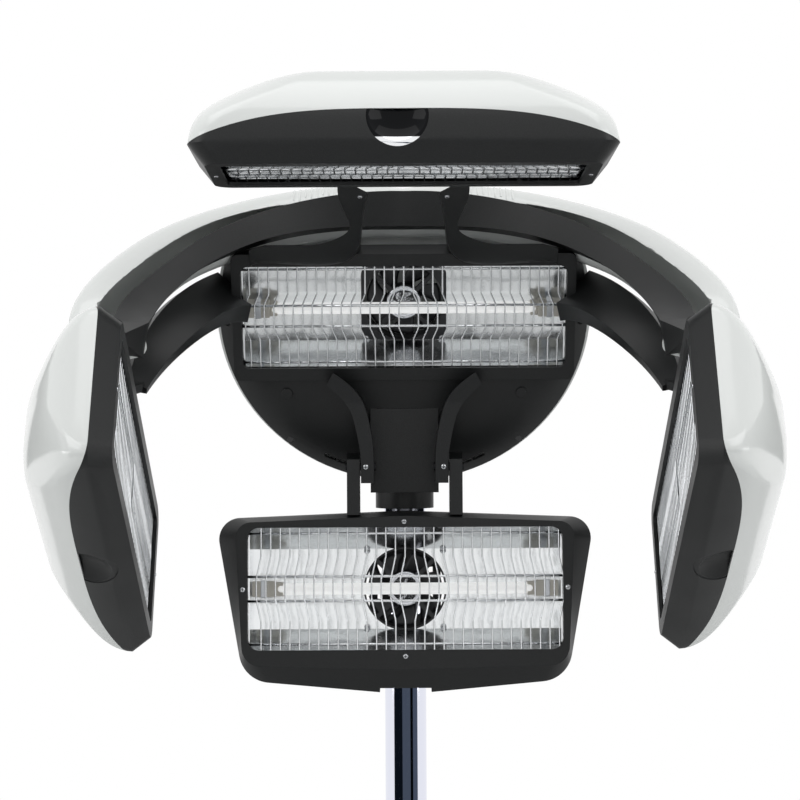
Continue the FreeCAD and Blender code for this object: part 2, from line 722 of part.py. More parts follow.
def front_frame():
    disc = disc_solid(0.0).cut(disc_solid(3.0))
    disc = disc.cut(block((-300, disc_cut, -50), (300, 400, 200))).cut(slot())
    frame, inside, window = lamp_frame()
    for side in (-1, 1):
        for i in range(3):
            vent = rounded_slab(6.5, 2.0, 2.0, -5, 60).translated(V(0, -160.0, 0))
            vent.rotate(ORIGIN, Z, side * (21.5 + i * 4.7))
            disc = disc.cut(vent)
    disc = disc.cut(rounded_slab(bezel_half[0] - 3, bezel_half[1] - 3, 5.0, -9, 60, lamp_y))
    disc = disc.fuse(both_sides(valley())).fuse(frame)
    disc = disc.cut(inside).cut(window)
    bosses = []
    for x in (-110.0, 110.0):
        bosses.append(Part.makeCylinder(5.0, 20.0, V(x, plate_y, 2.5)))
    for x in (-post_place, post_place):
        for side in (-1, 1):
            y = lamp_y + side * (centre_width / 2.0 + grille_lap + post_radius + 0.7)
            bosses.append(Part.makeCylinder(post_radius, reflector_level - face_plate,
                                            V(x, y, bezel_front + face_plate)))
    disc = disc_place(disc.multiFuse(bosses))
    half = arch_band().fuse(side_strut())
    holes = []
    for u, section in zip(side_knuckles, arm_sections()):
        body, hole = knuckle_arm(u, section)
        half = half.fuse(body)
        holes.append(hole)
    half = half.cut(Part.makeCompound(holes))
    back, up = tilted(centre_tilt)
    clear = stand(inside, disc_centre, back, up)
    return disc.fuse(half).fuse(mirrored(half)).cut(clear)


def arm_sections():
    """Where each knuckle's arm starts: across the arch's end and across the strut's end."""
    last = len(arch_inner) - 1

    def whole(i, width):
        flare, depth = arch_flare[i], arch_depth[i]
        return [(0.0, depth * 0.95), (0.0, 0.0), (width, 0.0), (width + 0.8 * flare, depth * 0.7)]
    arch_end = arch_sections(whole)[last]
    centre = head_line(strut_line)[-1]
    rise, out = strut_height[-1] / 2.0, strut_depth[-1] / 2.0
    along = side_pin(0.0)[1]
    strut_end = []
    for a, x in ((rise, out), (rise, -out), (-rise, -out), (-rise, out)):
        strut_end.append(centre + along * (a * 0.8) + V(x * 0.8, 0, 0))
    return arch_end, strut_end


def rear_shell(front):
    dome = dome_solid(0.0).cut(dome_solid(wall))
    dome = dome.cut(block((-300, dome_cut, -50), (300, 400, 200))).cut(slot())
    vents = []
    for side in (-1, 1):
        for i in range(6):
            vents.append(rounded_slab(22.0, 2.2, 2.1, 50, 120).translated(
                V(side * 95.0, -40.0 + i * 12.0, 0)))
    x, y = inlet_place
    port = rounded_slab(inlet_half[0], inlet_half[1], inlet_corner, 50, 120).translated(V(x, y, 0))
    dome = disc_place(dome.cut(Part.makeCompound(vents)).cut(port))
    cover = arch_cover(0.0)
    dome = largest(dome.cut(cover).cut(mirrored(cover)).cut(front))
    half = largest(cover.cut(arch_cover(wall)).cut(front))
    return dome, half, mirrored(half)


def largest(shape):
    return max(shape.Solids, key=lambda solid: solid.Volume)


def profile_solid(curves, vector):
    """An extruded outline: each run of points is a smooth curve, joined to the next by a line."""
    edges = []
    for run in curves:
        if len(run) > 2:
            curve = Part.BSplineCurve()
            curve.interpolate(run)
            edges.append(curve.toShape())
        else:
            edges.append(Part.LineSegment(run[0], run[1]).toShape())
    closed = []
    for edge, follow in zip(edges, edges[1:] + edges[:1]):
        closed.append(edge)
        end, start = edge.Curve.value(edge.LastParameter), follow.Curve.value(follow.FirstParameter)
        if end.distanceToPoint(start) > 0.001:
            closed.append(Part.LineSegment(end, start).toShape())
    return Part.Face(Part.Wire(closed)).extrude(vector)


def top_pin():
    a = math.radians(top_tilt)
    return top_face + V(0, -math.cos(a), math.sin(a)) * pin_line + V(0, math.sin(a), math.cos(a)) * pin_height


def top_arm(front):
    """The left strut from the head's frame up to the top lamp's hinge."""
    pin = top_pin()
    foot = V(0, face_y - 20.0, optical_height + 131.0)
    knuckle_in, knuckle_out = -(top_knuckle - 6.0), -(top_knuckle + 6.0)
    outer = [V(knuckle_out, 0, pin.z), V(-57.5, 0, pin.z - 11), V(-53.5, 0, pin.z - 26),
             V(-48.5, 0, pin.z - 42), V(-58, 0, foot.z + 15), V(-92, 0, foot.z + 9),
             V(-140, 0, foot.z + 5)]
    inner = [V(-140, 0, foot.z - 8), V(-66, 0, foot.z - 7), V(-44, 0, foot.z + 2),
             V(-37.5, 0, foot.z + 22), V(-35.0, 0, pin.z - 26), V(-31.0, 0, pin.z - 14)]
    crook = [V(knuckle_in - 0.5, 0, pin.z - knuckle_radius - 1.2), V(knuckle_in - 0.5, 0, pin.z)]
    face = profile_solid([[V(knuckle_in, 0, pin.z + 12), V(knuckle_out, 0, pin.z + 12)],
                          outer, inner, crook], V(0, 300, 0)).translated(V(0, pin.y - 30, 0))
    rise = [V(-200, pin.y - 4, pin.z + 6), V(-200, pin.y + 40, pin.z - 20),
            V(-200, pin.y + 80, pin.z - 42), V(-200, foot.y + 4, foot.z + 12),
            V(-200, foot.y + 26, foot.z + 12)]
    fall = [V(-200, foot.y + 26, foot.z - 12), V(-200, foot.y - 2, foot.z - 8),
            V(-200, pin.y + 74, pin.z - 56), V(-200, pin.y + 34, pin.z - 34),
            V(-200, pin.y - 8, pin.z - 6)]
    side = profile_solid([rise, fall], V(200, 0, 0))
    back, up = tilted(centre_tilt)
    clear = stand(lamp_frame()[1], disc_centre, back, up)
    arm = largest(face.common(side).cut(front).cut(clear))
    barrel = rod(V(knuckle_out, pin.y, pin.z), V(knuckle_in, pin.y, pin.z), knuckle_radius)
    hole = rod(V(-70, pin.y, pin.z), V(-20, pin.y, pin.z), pin_radius)
    return arm.fuse(barrel).cut(hole)


def nape_bracket(front):
    """Two arms from the round cover down to the nape lamp's hinges, and the web between them."""
    h = optical_height
    outer = [V(-72, 0, h + 14), V(-58, 0, h + 1), V(-50.8, 0, h - 9), V(-44.5, 0, h - 30),
             V(-41.0, 0, h - 50), V(-40.6, 0, h - 60)]
    inner = [V(-28.6, 0, h - 62), V(-29.6, 0, h - 40), V(-33, 0, h - 20), V(-40.6, 0, h + 2),
             V(-52, 0, h + 15), V(-66, 0, h + 25)]
    low = [V(-40.6, 0, h - 77), V(-28.6, 0, h - 77)]
    face = profile_solid([outer, low, inner], V(0, 120, 0)).translated(V(0, face_y - 20, 0))
    side_points = [V(-100, nape_pin.y - 11, h - 80), V(-100, nape_pin.y + 11, h - 80),
                   V(-100, nape_pin.y + 14, h - 52), V(-100, face_y + 75, h - 38),
                   V(-100, face_y + 85, h + 60), V(-100, face_y - 12, h + 60),
                   V(-100, face_y + 3, h - 2)]
    arm = face.common(extruded(side_points, V(100, 0, 0)))
    hole = rod(V(-60, nape_pin.y, nape_pin.z), V(-20, nape_pin.y, nape_pin.z), pin_radius)
    behind = disc_place(disc_solid(0.0).fuse(Part.makeCylinder(disc_radius, 90, V(0, 0, rim_height))))
    arm = arm.cut(hole)
    web_y = nape_pin.y + web_set_back
    web = block((-web_half, web_y, h - web_drop), (web_half, web_y + web_thickness, h + 20))
    return largest(fuse([arm, mirrored(arm), web]).cut(behind).cut(front))


def carrier():
    """The swivelling neck on the mast, with a barrel for the tilt axle."""
    axle = tilt_axle
    sleeve = Part.makeCylinder(carrier_radius, axle.z - 30 - carrier_foot, V(0, 0, carrier_foot))
    neck = block((-carrier_radius, -20, axle.z - 48), (carrier_radius, 20, axle.z))
    barrel = rod(V(-carrier_half, 0, axle.z), V(carrier_half, 0, axle.z), barrel_radius)
    bore = Part.makeCylinder(mast_radius + running_clearance, mast_top + fit_gap - carrier_foot + 1,
                             V(0, 0, carrier_foot - 1))
    hole = rod(V(-60, 0, axle.z), V(60, 0, axle.z), tilt_axle_radius + running_clearance)
    return sleeve.fuse(neck).fuse(barrel).cut(bore).cut(hole)


def chassis():
    """The steel plate behind the round cover, with two cheeks that hold the tilt axle."""
    back, up = tilted(centre_tilt)
    rel = tilt_axle - disc_centre
    pivot_y, pivot_z = rel.dot(up), rel.dot(back)
    solids = [block((-122, plate_y - 9, plate_z), (122, plate_y + 9, plate_z + 2.5))]
    for side in (-1, 1):
        x0 = side * (carrier_half + fit_gap)
        x1 = x0 + side * 5.0
        low, high = min(x0, x1), max(x0, x1)
        profile = [V(low, plate_y + 9, plate_z + 2.5), V(low, plate_y + 9, plate_z + 18),
                   V(low, pivot_y + 6, pivot_z + 15), V(low, pivot_y - 12, pivot_z + 12),
                   V(low, pivot_y - 12, pivot_z - 12), V(low, plate_y - 9, plate_z)]
        solids.append(extruded(profile, V(high - low, 0, 0)))
    hole = rod(V(-80, pivot_y, pivot_z), V(80, pivot_y, pivot_z), tilt_axle_radius)
    return disc_place(fuse(solids).cut(hole))


def control_panel():
    """The panel on the back: a slab with pockets for the display and the buttons."""
    slab = rounded_slab(panel_half[0], panel_half[1], 12.0, 86.0, panel_top)
    display_hole = rounded_slab(25.0, 13.0, 2.0, panel_top - 1.6, panel_top + 5, 8.0)
    holes = [Part.makeCylinder(button_radius + fit_gap, 9.0, V(x, button_y, panel_top - 7.0))
             for x in button_places]
    rocker = block((41.0, -2.0, panel_top - 9.0), (56.0, 20.0, panel_top + 1))
    dome = dome_solid(0.0)
    panel = slab.cut(display_hole).cut(Part.makeCompound(holes)).cut(rocker).cut(dome)
    window = rounded_slab(24.8, 12.8, 1.8, panel_top - 1.6, panel_top + 0.2, 8.0)
    buttons = []
    for x in button_places:
        stalk = Part.makeCylinder(button_radius, 4.0, V(x, button_y, panel_top - 4.0 + 2.5))
        buttons.append(stalk)
    switch = extruded([V(41.4, -1.6, panel_top - 4), V(41.4, 9.0, panel_top - 6.0),
                       V(41.4, 19.6, panel_top - 4), V(41.4, 19.4, panel_top + 2.4),
                       V(41.4, 9.0, panel_top - 0.4), V(41.4, -1.4, panel_top + 2.4)],
                      V(14.2, 0, 0))
    return panel, window, buttons, switch


def power_inlet():
    """The mains socket through the back of the dome, with its three pins."""
    x, y = inlet_place
    low, floor = inlet_top - inlet_length, inlet_top - inlet_length + 12.0
    body = rounded_slab(inlet_half[0], inlet_half[1], inlet_corner, low, inlet_top)
    cavity = rounded_slab(inlet_half[0] - 3.5, inlet_half[1] - 3.5, inlet_corner - 0.5,
                          floor, inlet_top + 1)
    pins = [block((i * 6 - 1, -2, floor - 1), (i * 6 + 1, 2, inlet_top - 4)) for i in (-1, 0, 1)]
    return fuse([body.cut(cavity)] + pins).translated(V(x, y, 0))


def screws():
    """Countersunk screws that hold the round cover."""
    places = ((165.0, -7.5, 17.2), (109.0, -127.0, 17.4))
    solids, holes = [], []
    for x, y, z in places:
        for side in (-1, 1):
            solids.append(Part.makeCylinder(3.3, 8.0, V(side * x, y, z + 0.6)))
            holes.append(Part.makeCylinder(3.3, 30.0, V(side * x, y, z - 15)))
    return [disc_place(q) for q in solids], [disc_place(q) for q in holes]


def hinge_pins():
    pins = []
    pin = top_pin()
    for side in (-1, 1):
        pins.append(rod(V(side * 27.0, pin.y, pin.z), V(side * 54.0, pin.y, pin.z), pin_radius))
        pins.append(rod(V(side * 27.0, nape_pin.y, nape_pin.z), V(side * 55.0, nape_pin.y, nape_pin.z),
                        pin_radius))
    for u in side_knuckles:
        centre, along = side_pin(u)
        half = rod(centre - along * (knuckle_width / 2.0 + 1.0),
                   centre + along * (1.5 * knuckle_width + 1.5), pin_radius)
        pins += [half, mirrored(half)]
    return pins


# ---------------------------------------------------------------- stand
def mast():
    tube = Part.makeCylinder(mast_radius, mast_top - mast_foot, V(0, 0, mast_foot))
    return tube.cut(Part.makeCylinder(mast_radius - 2.0, mast_top - mast_foot - 8, V(0, 0, mast_foot - 1)))


def column():
    tube = Part.makeCylinder(column_radius, column_top - column_foot, V(0, 0, column_foot))
    return tube.cut(Part.makeCylinder(mast_radius + running_clearance, 900, V(0, 0, column_foot - 10)))


def collar_and_knob():
    low = column_top - 24.0
    high = low + collar_height
    collar = Part.makeCylinder(collar_radius, collar_height, V(0, 0, low))
    boss = rod(V(20, 0, high - 14), V(collar_radius + 14, 0, high - 14), 11.0)
    collar = collar.fuse(boss)
    collar = collar.cut(Part.makeCylinder(column_radius, 24.0 + fit_gap, V(0, 0, low - 0.01)))
    collar = collar.cut(Part.makeCylinder(mast_radius + running_clearance, 200, V(0, 0, low - 1)))
    tap = rod(V(15, 0, high - 14), V(collar_radius + 20, 0, high - 14), 5.0 + running_clearance)
    collar = collar.cut(tap)
    start = V(mast_radius + 1.0, 0, high - 14)
    screw = rod(start, V(collar_radius + 20, 0, high - 14), 5.0)
    grip = rod(V(collar_radius + 14 + 1.0, 0, high - 14), V(collar_radius + 36, 0, high - 14), 19.0)
    flutes = []
    for i in range(8):
        a = i * math.pi / 4
        centre = V(0, 22.5 * math.cos(a), high - 14 + 22.5 * math.sin(a))
        flutes.append(rod(centre + V(collar_radius + 10, 0, 0), centre + V(collar_radius + 50, 0, 0), 6.5))
    return collar, screw.fuse(grip.cut(Part.makeCompound(flutes)))


def base():
    """The five-legged star."""
    foot = caster_top
    hub = Part.makeCylinder(hub_radius, hub_height, V(0, 0, foot))
    top = Part.makeCone(hub_radius, column_radius + 7, 12.0, V(0, 0, foot + hub_height))
    legs = []
    for i in range(leg_count):
        near = [V(30, -21, foot + 4), V(30, 21, foot + 4), V(30, 16, foot + 42), V(30, -16, foot + 42)]
        far = [V(leg_reach, -14, foot + 1), V(leg_reach, 14, foot + 1),
               V(leg_reach, 11, foot + 19), V(leg_reach, -11, foot + 19)]
        leg = Part.makeLoft([Part.makePolygon(q + [q[0]]) for q in (near, far)], True, True)
        leg = leg.fuse(Part.makeCylinder(15.0, 19.0, V(leg_reach, 0, foot)))
        leg = leg.cut(Part.makeCylinder(stem_radius + running_clearance, 15.0,
                                        V(leg_reach, 0, foot - 1)))
        leg.rotate(ORIGIN, Z, leg_turn + i * 360.0 / leg_count)
        legs.append(leg)
    body = hub.multiFuse([top] + legs)
    return body.cut(Part.makeCylinder(column_radius, 200, V(0, 0, column_foot)))


def caster():
    """One caster at the origin's leg: fork with stem and axle, and the twin wheel."""
    x = leg_reach
    wheel_x = x + caster_trail
    high = caster_top - fit_gap
    stem = Part.makeCylinder(stem_radius, 13.0 + fit_gap, V(x, 0, high))
    boss = Part.makeCylinder(10.0, 8.0, V(x, 0, high - 8.0))
    web = block((x - 8, -wheel_gap / 2.0 + 1, wheel_radius - 8), (wheel_x + 8, wheel_gap / 2.0 - 1, high - 6))
    hood_out = rod(V(wheel_x, -wheel_width - 7.5, wheel_radius), V(wheel_x, wheel_width + 7.5, wheel_radius),
                   wheel_radius + 5.0)
    hood_in = rod(V(wheel_x, -wheel_width - 9, wheel_radius), V(wheel_x, wheel_width + 9, wheel_radius),
                  wheel_radius + 2.0)
    hood = hood_out.cut(hood_in).common(block((x - 40, -40, wheel_radius + 6), (x + 80, 40, high)))
    axle_hole = rod(V(wheel_x, -30, wheel_radius), V(wheel_x, 30, wheel_radius), 4.0)
    axle = rod(V(wheel_x, -wheel_gap / 2 - wheel_width - 0.5, wheel_radius),
               V(wheel_x, wheel_gap / 2 + wheel_width + 0.5, wheel_radius), 4.0)
    fork = stem.fuse(boss).fuse(web).fuse(hood).fuse(axle)
    wheels = []
    for side in (-1, 1):
        start = V(wheel_x, side * (wheel_gap / 2.0 + 0.3), wheel_radius)
        end = V(wheel_x, side * (wheel_gap / 2.0 + wheel_width), wheel_radius)
        tyre = rod(start, end, wheel_radius)
        tyre = tyre.makeFillet(2.5, [e for e in tyre.Edges if e.Curve.TypeId == "Part::GeomCircle"])
        wheels.append(tyre.cut(rod(V(wheel_x, -40, wheel_radius), V(wheel_x, 40, wheel_radius),
                                   4.0 + running_clearance)))
    return fork, wheels


def turned(shape, angle):
    moved = shape.copy()
    moved.rotate(ORIGIN, Z, angle)
    return moved


def build_lamps():
    module = lamp_module(top_lugs, top_grip_x, True)
    a = math.radians(top_tilt)
    top = placed(module, top_face, V(0, math.sin(a), math.cos(a)), V(0, -math.cos(a), math.sin(a)))
    for key, shapes in top.items():
        save("top_" + key, *shapes)
    module = lamp_module(side_knuckles, side_grip_x, False)
    module.pop("grip")
    a = math.radians(side_slope)
    left = placed(module, side_face, V(-1, 0, 0), V(0, -math.sin(a), -math.cos(a)))
    for key, shapes in left.items():
        save("left_" + key, *shapes)
        save("right_" + key, *[mirrored(shape) for shape in shapes])
    nape = nape_unit()
    back, up = tilted(-nape_tilt)
    nape = placed(nape, nape_face, back, up)
    cheeks, holes = nape_necks(nape_pin)
    nape["housing"] = [fuse(nape["housing"] + cheeks).cut(Part.makeCompound(holes))]
    for key, shapes in nape.items():
        save("nape_" + key, *shapes)
    back, up = tilted(centre_tilt)
    insides = lamp_insides(grille_length, centre_width, flange_width, True)
    centre = placed(insides, centre_face, back, up)
    for key, shapes in centre.items():
        save("center_" + key, *shapes)


def build_head():
    front = front_frame()
    solids, holes = screws()
    front = front.cut(Part.makeCompound(holes))
    rear = rear_shell(front)
    panel, window, buttons, switch = control_panel()
    inlet = power_inlet()
    save("front_frame", front)
    save("rear_shell", *rear)
    save("head_screws", *solids)
    save("chassis_plate", chassis())
    save("control_panel", disc_place(panel))
    save("display_window", disc_place(window))
    for name, button in zip(("start_button", "plus_button", "minus_button"), buttons):
        save(name, disc_place(button))
    save("power_switch", disc_place(switch))
    save("power_inlet", disc_place(inlet))
    arm = top_arm(front)
    save("top_arms", arm, mirrored(arm))
    save("nape_arms", nape_bracket(front))
    save("lamp_hinge_pins", *hinge_pins())
    save("tilt_axle", rod(V(-carrier_half - 9, 0, tilt_axle.z), V(carrier_half + 9, 0, tilt_axle.z),
                          tilt_axle_radius))
    save("swivel_head", carrier())


def build_stand():
    save("mast_tube", mast())
    save("column_tube", column())
    collar, knob = collar_and_knob()
    save("clamp_collar", collar)
    save("clamp_knob", knob)
    save("base_star", base())
    fork, wheels = caster()
    for i in range(leg_count):
        angle = leg_turn + i * 360.0 / leg_count
        save("caster_fork_%d" % (i + 1), turned(fork, angle))
        save("caster_wheels_%d" % (i + 1), *[turned(wheel, angle) for wheel in wheels])


if __name__ == "__main__":
    build_lamps()
    build_head()
    build_stand()
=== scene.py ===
# %% [markdown]
# # A salon hair color processor
# Five infrared lamp units stand round a client's head on a horseshoe arch, over a rolling stand.
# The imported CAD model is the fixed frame: every piece here sits where that frame says, in metres,
# and rides on one of its bodies. This lesson dresses the frame: it smooths the moulded shells,
# rebuilds wire grilles, lamps and fans with fine detail, and gives every piece its real finish.

# %% Load the frame
import json
import math
import bmesh
import bpy
from mathutils import Matrix, Vector
from mathutils.bvhtree import BVHTree


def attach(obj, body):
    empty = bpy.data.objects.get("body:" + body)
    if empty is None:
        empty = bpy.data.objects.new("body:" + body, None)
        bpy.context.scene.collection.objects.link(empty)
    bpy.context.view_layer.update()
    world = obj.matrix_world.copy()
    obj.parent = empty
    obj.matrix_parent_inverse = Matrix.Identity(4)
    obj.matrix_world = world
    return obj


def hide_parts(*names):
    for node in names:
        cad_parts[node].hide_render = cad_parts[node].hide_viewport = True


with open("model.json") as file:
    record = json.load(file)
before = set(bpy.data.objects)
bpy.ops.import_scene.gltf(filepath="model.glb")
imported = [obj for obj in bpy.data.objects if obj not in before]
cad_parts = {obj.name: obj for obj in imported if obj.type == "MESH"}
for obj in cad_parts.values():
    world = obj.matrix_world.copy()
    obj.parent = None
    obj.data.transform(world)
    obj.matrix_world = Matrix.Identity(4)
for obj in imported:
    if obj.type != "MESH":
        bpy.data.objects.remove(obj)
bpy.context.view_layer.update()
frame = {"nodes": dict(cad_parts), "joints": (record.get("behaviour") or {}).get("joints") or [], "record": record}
MM = 0.001
body_of_node = {}
for body_name, members in frame["record"]["behaviour"]["bodies"].items():
    for member in members:
        body_of_node[member] = body_name


def in_scene(name, data):
    """A new object in the scene that shows a mesh, a light or a camera."""
    thing = bpy.data.objects.new(name, data)
    bpy.context.scene.collection.objects.link(thing)
    return thing


# %% [markdown]
# ## The camera
# A product photograph is taken with a long lens from some way off, level with the middle of the
# subject. A tiny roll of the camera body is kept, because studio tripods are never quite plumb.

# %% Camera
LENS_MM = 102.3
SENSOR_MM = 36.0
CAMERA_PLACE = (-0.004, -2.2, 1.3)
CAMERA_ROLL = math.radians(0.3)

camera_data = bpy.data.cameras.new("camera")
camera_data.lens = LENS_MM
camera_data.sensor_width = SENSOR_MM
camera = in_scene("camera", camera_data)
camera.location = CAMERA_PLACE
camera.rotation_euler = (math.radians(90.0), CAMERA_ROLL, 0.0)
bpy.context.scene.camera = camera
print("camera at", tuple(round(v, 3) for v in camera.location))

# %% [markdown]
# ## Tools for finishes
# Every material is a small node tree. Colours are written as sRGB hex values, the way a paint
# card gives them, and one function turns them linear. One more adds a node with its settings and
# links. Noise scales come from the real size of the grain in millimetres.

# %% Colour and node helpers
def hex_colour(code):
    """A linear RGBA colour from an sRGB hex value."""
    parts = [int(code[i:i + 2], 16) / 255.0 for i in (1, 3, 5)]
    linear = [c / 12.92 if c <= 0.04045 else ((c + 0.055) / 1.055) ** 2.4 for c in parts]
    return (*linear, 1.0)


def add_node(tree, kind, settings=None, inputs=None):
    """A node of one kind, with attributes set, and sockets set or linked by name or number."""
    node = tree.nodes.new(kind)
    for name, value in (settings or {}).items():
        setattr(node, name, value)
    for name, value in (inputs or {}).items():
        if isinstance(value, bpy.types.NodeSocket):
            tree.links.new(value, node.inputs[name])
        else:
            node.inputs[name].default_value = value
    return node


def per_metre(size_mm):
    """Noise scale whose features are about size_mm across."""
    return 1.0 / (size_mm * MM)


def new_material(name):
    """An empty material with its tree and the object's coordinates."""
    material = bpy.data.materials.new(name)
    material.use_nodes = True
    tree = material.node_tree
    tree.nodes.clear()
    place = add_node(tree, "ShaderNodeTexCoord").outputs["Object"]
    return material, tree, place


RGBA = {"data_type": "RGBA"}
MIX_FACTOR, MIX_A, MIX_B, MIX_COLOUR = 0, 6, 7, 2
print("helpers ready")

# %% [markdown]
# ## Moulded plastics
# The lamp housings are injection-moulded ABS with a fine spark-eroded grain: matte, but each
# grain facet catches a little light, so a nearly black base with a broad sheen and a bump of about
# a millimetre across. No moulded edge is truly sharp. A bevel node rounds them in the shading by
# half a millimetre, and that thin rim catches the light.

# %% Black grained plastic
def grained_abs():
    """Black ABS, spark-eroded mould: matte with a fine grain that breaks up the highlights."""
    material, tree, place = new_material("abs_black_fine_grain")
    grain = add_node(tree, "ShaderNodeTexNoise", None,
                     {"Vector": place, "Scale": per_metre(1.1), "Detail": 2.0})
    cloud = add_node(tree, "ShaderNodeTexNoise", None,
                     {"Vector": place, "Scale": per_metre(60.0), "Detail": 2.0})
    rough = add_node(tree, "ShaderNodeMapRange", None,
                     {"Value": cloud.outputs[0], "To Min": 0.36, "To Max": 0.50})
    colour = add_node(tree, "ShaderNodeMix", RGBA,
                      {MIX_FACTOR: grain.outputs[0], MIX_A: hex_colour("#060707"),
                       MIX_B: hex_colour("#1A1C1D")})
    edge = add_node(tree, "ShaderNodeBevel", {"samples": 4}, {"Radius": 0.5 * MM})
    bump = add_node(tree, "ShaderNodeBump", None,
                    {"Height": grain.outputs[0], "Distance": 0.16 * MM, "Strength": 0.6,
                     "Normal": edge.outputs[0]})
    shader = add_node(tree, "ShaderNodeBsdfPrincipled", None,
                      {"Base Color": colour.outputs[MIX_COLOUR],
                       "Roughness": rough.outputs[0], "IOR": 1.53,
                       "Specular IOR Level": 0.34, "Normal": bump.outputs[0]})
    add_node(tree, "ShaderNodeOutputMaterial", None, {"Surface": shader.outputs[0]})
    return material


BLACK_ABS = grained_abs()
print(BLACK_ABS.name)

# %% [markdown]
# The covers are the same plastic, white and polished in the mould: a clear, tight gloss with a
# barely visible waviness of about two centimetres. Black polished ABS and the dark acrylic of the
# display follow the same rule, so one function serves all that is polished.

# %% Polished plastic
def polished(name, code, roughness):
    """Plastic polished in the mould: hard gloss with a slight waviness from cooling."""
    material, tree, place = new_material(name)
    wave = add_node(tree, "ShaderNodeTexNoise", None,
                    {"Vector": place, "Scale": per_metre(22.0), "Detail": 1.0})
    shade = add_node(tree, "ShaderNodeTexNoise", None,
                     {"Vector": place, "Scale": per_metre(140.0), "Detail": 2.0})
    light = hex_colour(code)
    dark = tuple(c * 0.95 for c in light[:3]) + (1.0,)
    colour = add_node(tree, "ShaderNodeMix", RGBA,
                      {MIX_FACTOR: shade.outputs[0], MIX_A: dark, MIX_B: light})
    edge = add_node(tree, "ShaderNodeBevel", {"samples": 4}, {"Radius": 0.4 * MM})
    bump = add_node(tree, "ShaderNodeBump", None,
                    {"Height": wave.outputs[0], "Distance": 0.05 * MM, "Strength": 0.12,
                     "Normal": edge.outputs[0]})
    shader = add_node(tree, "ShaderNodeBsdfPrincipled", None,
                      {"Base Color": colour.outputs[MIX_COLOUR], "Roughness": roughness,
                       "IOR": 1.53, "Coat Weight": 0.35, "Coat Roughness": 0.06,
                       "Normal": bump.outputs[0]})
    add_node(tree, "ShaderNodeOutputMaterial", None, {"Surface": shader.outputs[0]})
    return material


WHITE_ABS = polished("abs_white_polished", "#E6E9E7", 0.16)
BLACK_GLOSS = polished("abs_black_polished", "#0D1015", 0.10)
DISPLAY = polished("acrylic_dark_polished", "#07080A", 0.05)
print("polished plastics:", WHITE_ABS.name, BLACK_GLOSS.name, DISPLAY.name)

# %% [markdown]
# ## Metals
# Chromed, plated and turned pieces keep the default IOR of a metal and differ in tint, roughness
# and grain. The reflectors are bright rolled aluminium sheet, which is never quite flat: shallow
# dents a few centimetres across, with a finer ripple on them, bend the tube's reflection.

# %% Chromed, plated and turned metal
def metal(name, code, roughness, grain_mm, dent_mm=0.0, dent_depth=0.0):
    """A metal with a fine grain in its roughness and, where dent_mm is given, slight dents."""
    material, tree, place = new_material(name)
    grain = add_node(tree, "ShaderNodeTexNoise", None,
                     {"Vector": place, "Scale": per_metre(grain_mm), "Detail": 2.0})
    rough = add_node(tree, "ShaderNodeMapRange", None,
                     {"Value": grain.outputs[0], "To Min": roughness * 0.7,
                      "To Max": roughness * 1.4})
    shader = add_node(tree, "ShaderNodeBsdfPrincipled", None,
                      {"Base Color": hex_colour(code), "Metallic": 1.0,
                       "Roughness": rough.outputs[0]})
    if dent_mm:
        dents = add_node(tree, "ShaderNodeTexNoise", None,
                         {"Vector": place, "Scale": per_metre(dent_mm), "Detail": 2.0})
        bump = add_node(tree, "ShaderNodeBump", None,
                        {"Height": dents.outputs[0], "Distance": dent_depth * MM,
                         "Strength": 0.6})
        tree.links.new(bump.outputs[0], shader.inputs["Normal"])
    add_node(tree, "ShaderNodeOutputMaterial", None, {"Surface": shader.outputs[0]})
    return material


CHROMED_WIRE = metal("steel_wire_chromed", "#E4E6E8", 0.13, 4.0)
CHROMED_TUBE = metal("steel_tube_chromed", "#E3E5F0", 0.04, 30.0, 120.0, 0.04)
CHROMED_ABS = metal("abs_chromed", "#D9DBDF", 0.06, 20.0, 40.0, 0.04)
ZINC = metal("steel_zinc_plated", "#B9BCC0", 0.32, 3.0)
TURNED_STEEL = metal("steel_turned", "#C2C4C7", 0.22, 1.0)
BLACKENED = metal("steel_blackened", "#2A2A2C", 0.35, 2.0)
FILAMENT = metal("tungsten_drawn", "#8C8B88", 0.35, 0.8)
print("metals:", len(bpy.data.materials))

# %% Rolled aluminium
def rolled_aluminium():
    """Bright rolled sheet: shallow dents, a finer ripple on them, and cloudy roughness."""
    material, tree, place = new_material("aluminium_bright_rolled")
    dents = add_node(tree, "ShaderNodeTexNoise", None,
                     {"Vector": place, "Scale": per_metre(24.0), "Detail": 1.5})
    ripple = add_node(tree, "ShaderNodeTexNoise", None,
                      {"Vector": place, "Scale": per_metre(7.0), "Detail": 1.0})
    first = add_node(tree, "ShaderNodeBump", None,
                     {"Height": dents.outputs[0], "Distance": 1.5 * MM, "Strength": 0.45})
    second = add_node(tree, "ShaderNodeBump", None,
                      {"Height": ripple.outputs[0], "Distance": 0.2 * MM, "Strength": 0.35,
                       "Normal": first.outputs[0]})
    cloud = add_node(tree, "ShaderNodeTexNoise", None,
                     {"Vector": place, "Scale": per_metre(30.0), "Detail": 3.0})
    rough = add_node(tree, "ShaderNodeMapRange", None,
                     {"Value": cloud.outputs[0], "To Min": 0.08, "To Max": 0.26})
    shader = add_node(tree, "ShaderNodeBsdfPrincipled", None,
                      {"Base Color": hex_colour("#ECEEEF"), "Metallic": 1.0,
                       "Roughness": rough.outputs[0], "Normal": second.outputs[0]})
    add_node(tree, "ShaderNodeOutputMaterial", None, {"Surface": shader.outputs[0]})
    return material


ALUMINIUM = rolled_aluminium()
print(ALUMINIUM.name)

# %% [markdown]
# The base is powder-coated steel. The powder flows into a satin skin with an orange peel of about
# two millimetres.

